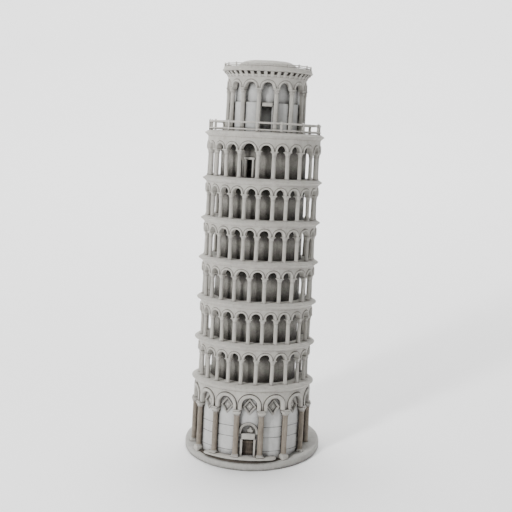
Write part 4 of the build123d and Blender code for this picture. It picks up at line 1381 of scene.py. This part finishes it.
@dataclass
class Roof(Assembly):
    """Corbel table, slab with its rim and the shallow dome."""

    def build(self) -> None:
        """Makes every piece of the roof."""
        table = Casting()
        table.lathe([(26.5, BELFRY_TOP), (31.0, BELFRY_TOP), (31.3, 297.5), (31.25, 297.9), (31.6, 298.4),
                     (32.1, 299.0), (31.9, 299.25), (31.0, 299.35), (31.0, CORBEL_TOP), (26.5, CORBEL_TOP)],
                    closed=True)
        self.stone(table, "corbel_table")
        unit = Casting()
        outline = [(29.6, 0.0), (31.3, 0.0), (31.75, 0.5), (32.1, 1.5), (32.9, 2.4), (34.1, 3.2),
                   (34.4, 4.25), (29.6, 4.25)]
        side = [unit.bm.verts.new((r - CORBEL_RING, -CORBEL_WIDTH / 2, z)) for r, z in outline]
        face = bmesh.ops.contextual_create(unit.bm, geom=side)["faces"]
        pulled = bmesh.ops.extrude_face_region(unit.bm, geom=face)["geom"]
        far = [part for part in pulled if isinstance(part, bmesh.types.BMVert)]
        bmesh.ops.translate(unit.bm, vec=(0, CORBEL_WIDTH, 0), verts=far)
        bmesh.ops.bevel(unit.bm, geom=list(unit.bm.edges), offset=0.22, segments=2, profile=0.5,
                        affect="EDGES", material=-1, clamp_overlap=True)
        corbels = Casting()
        places = [around(BELFRY_DOOR + 360 / CORBELS * (i + 0.5), CORBEL_RING, CORBEL_FOOT)
                  for i in range(CORBELS)]
        corbels.copies(unit, places, self.rng, 0.04)
        corbels.ripple(0.10, 2.5)
        self.stone(corbels, "corbels")
        slab = Casting()
        slab.lathe([(0, CORBEL_TOP), (34.4, CORBEL_TOP), (34.8, 301.65), (35.6, 302.0), (35.85, 302.3),
                    (35.8, 302.75), (35.3, 303.2), (35.05, 303.7), (35.0, 304.7), (34.8, 305.1),
                    (34.4, ROOF_LEVEL), (0, ROOF_LEVEL)], 176)
        slab.ripple(0.08, 8.0, 2.0)
        self.stone(slab, "roof_slab")
        dome = Casting()
        dome.lathe([(0, 305.0), (23.8, 305.0), (23.9, 305.6), (23.5, 306.4), (22.6, 307.6), (21.0, 309.0),
                    (18.8, 310.2), (16.4, 310.8), (15.4, 310.95), (10.0, 311.15), (0, 311.3)], 128)
        dome.ripple(0.10, 7.0, 1.0)
        self.stone(dome, "roof_dome")


# --------------------------------------------------------------------------------------------
# Studio
# --------------------------------------------------------------------------------------------


@dataclass(frozen=True)
class Softbox:
    """A square area light.

    Attributes:
        name: the light's name.
        place: where it hangs, in metres.
        size: its side, in metres.
        power: its power, in watts.
        target: what it points at.
    """

    name: str
    place: tuple[float, float, float]
    size: float
    power: float
    target: tuple[float, float, float] = (0.0, 0.0, 0.16)

    def build(self) -> None:
        """Makes the light."""
        data = bpy.data.lights.new(self.name, "AREA")
        data.shape, data.size, data.energy = "SQUARE", self.size, self.power
        lamp = bpy.data.objects.new(self.name, data)
        lamp.location = self.place
        aim = Vector(self.target) - Vector(self.place)
        lamp.rotation_euler = aim.to_track_quat("-Z", "Y").to_euler()
        bpy.context.scene.collection.objects.link(lamp)


@dataclass
class Studio:
    """Pale floor that curves up all round the model, soft lights and the camera.

    Attributes:
        floor: the floor's finish.
        eye: where the camera stands, in metres.
        pitch: how far it looks down, in degrees.
        yaw: how far it looks to the right, in degrees.
        roll: how far its right side is lifted, in degrees.
        focal: focal length, where the frame is FRAME_WIDTH across.
    """

    floor: bpy.types.Material
    eye: tuple[float, float, float] = (0.001088, -0.849421, 0.374988)
    pitch: float = 14.2511
    yaw: float = 0.0369
    roll: float = 0.6653
    focal: float = 1108.41

    FRAME_WIDTH, SENSOR_WIDTH = 512, 36.0
    CLIP = (0.01, 50.0)
    SKY = 0.04
    BOWL = ((0, 0), (1.5, 0), (1.85, 0.04), (2.15, 0.18), (2.38, 0.45), (2.5, 0.9), (2.5, 2.8))    # metres
    LIGHTS = (Softbox("key", (-0.85, -0.90, 0.80), 0.16, 22.0),
              Softbox("fill", (0.95, -0.80, 0.60), 0.45, 0.7),
              Softbox("backdrop", (0.0, 0.9, 2.2), 1.4, 105.0, (0.0, 1.9, 0.3)))

    def build(self) -> None:
        """Makes the floor, world, lights and camera."""
        backdrop = Casting()
        backdrop.lathe(self.BOWL, 96)
        mesh = bpy.data.meshes.new("studio_floor")
        backdrop.bm.to_mesh(mesh)
        backdrop.bm.free()
        mesh.shade_smooth()
        mesh.materials.append(self.floor)
        floor = bpy.data.objects.new("studio_floor", mesh)
        bpy.context.scene.collection.objects.link(floor)

        world = bpy.data.worlds.new("studio")
        bpy.context.scene.world = world
        world.use_nodes = True
        sky = world.node_tree.nodes["Background"]
        sky.inputs["Color"].default_value = (1.0, 1.0, 1.0, 1.0)
        sky.inputs["Strength"].default_value = self.SKY
        for box in self.LIGHTS:
            box.build()
        self._camera()

    def _camera(self) -> None:
        """Makes the camera."""
        p, y, r = (math.radians(v) for v in (self.pitch, self.yaw, self.roll))
        ahead = Vector((math.sin(y) * math.cos(p), math.cos(y) * math.cos(p), -math.sin(p)))
        right = Vector((math.cos(y), -math.sin(y), 0.0))
        up = right.cross(ahead)
        right, up = right * math.cos(r) + up * math.sin(r), up * math.cos(r) - right * math.sin(r)
        data = bpy.data.cameras.new("camera")
        data.sensor_width = self.SENSOR_WIDTH
        data.lens = self.focal * self.SENSOR_WIDTH / self.FRAME_WIDTH
        data.clip_start, data.clip_end = self.CLIP
        camera = bpy.data.objects.new("camera", data)
        turn = Matrix((right, up, -ahead)).transposed().to_4x4()
        camera.matrix_world = Matrix.Translation(self.eye) @ turn
        bpy.context.scene.collection.objects.link(camera)
        bpy.context.scene.camera = camera


def main() -> None:
    """Builds the model and the studio in order."""
    logging.basicConfig(level=logging.INFO, format="%(name)s %(message)s")
    noise.seed_set(SEED)
    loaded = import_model()
    palette = Palette()
    common = (TowerFrame.measured(), palette, loaded["nodes"], random.Random(SEED))
    BaseDisc(*common).build()
    GroundStorey(*common).build()
    Cornices(*common).build()
    for storey, front in FRONT_COLUMNS.items():
        abacus_top = ABACUS_TOP_SEVENTH if storey == max(FRONT_COLUMNS) else ABACUS_TOP
        Gallery(*common, storey=storey, front=front, abacus_top=abacus_top).build()
    Railing(*common, angles=whole_circle(TERRACE_FRONT, TERRACE_POSTS)).build()
    Belfry(*common).build()
    Roof(*common).build()
    roof_angles = [ROOF_PHASE + 360 / ROOF_POSTS * i for i in range(ROOF_POSTS)]
    Railing(*common, kind="roof", radius=34.2, floor=ROOF_LEVEL, angles=roof_angles,
            post=Post(1.0, 2.7, 0.6), rails=((2.0, 0.4), (0.65, 0.4))).build()
    Studio(palette.floor).build()


if __name__ == "__main__":
    main()
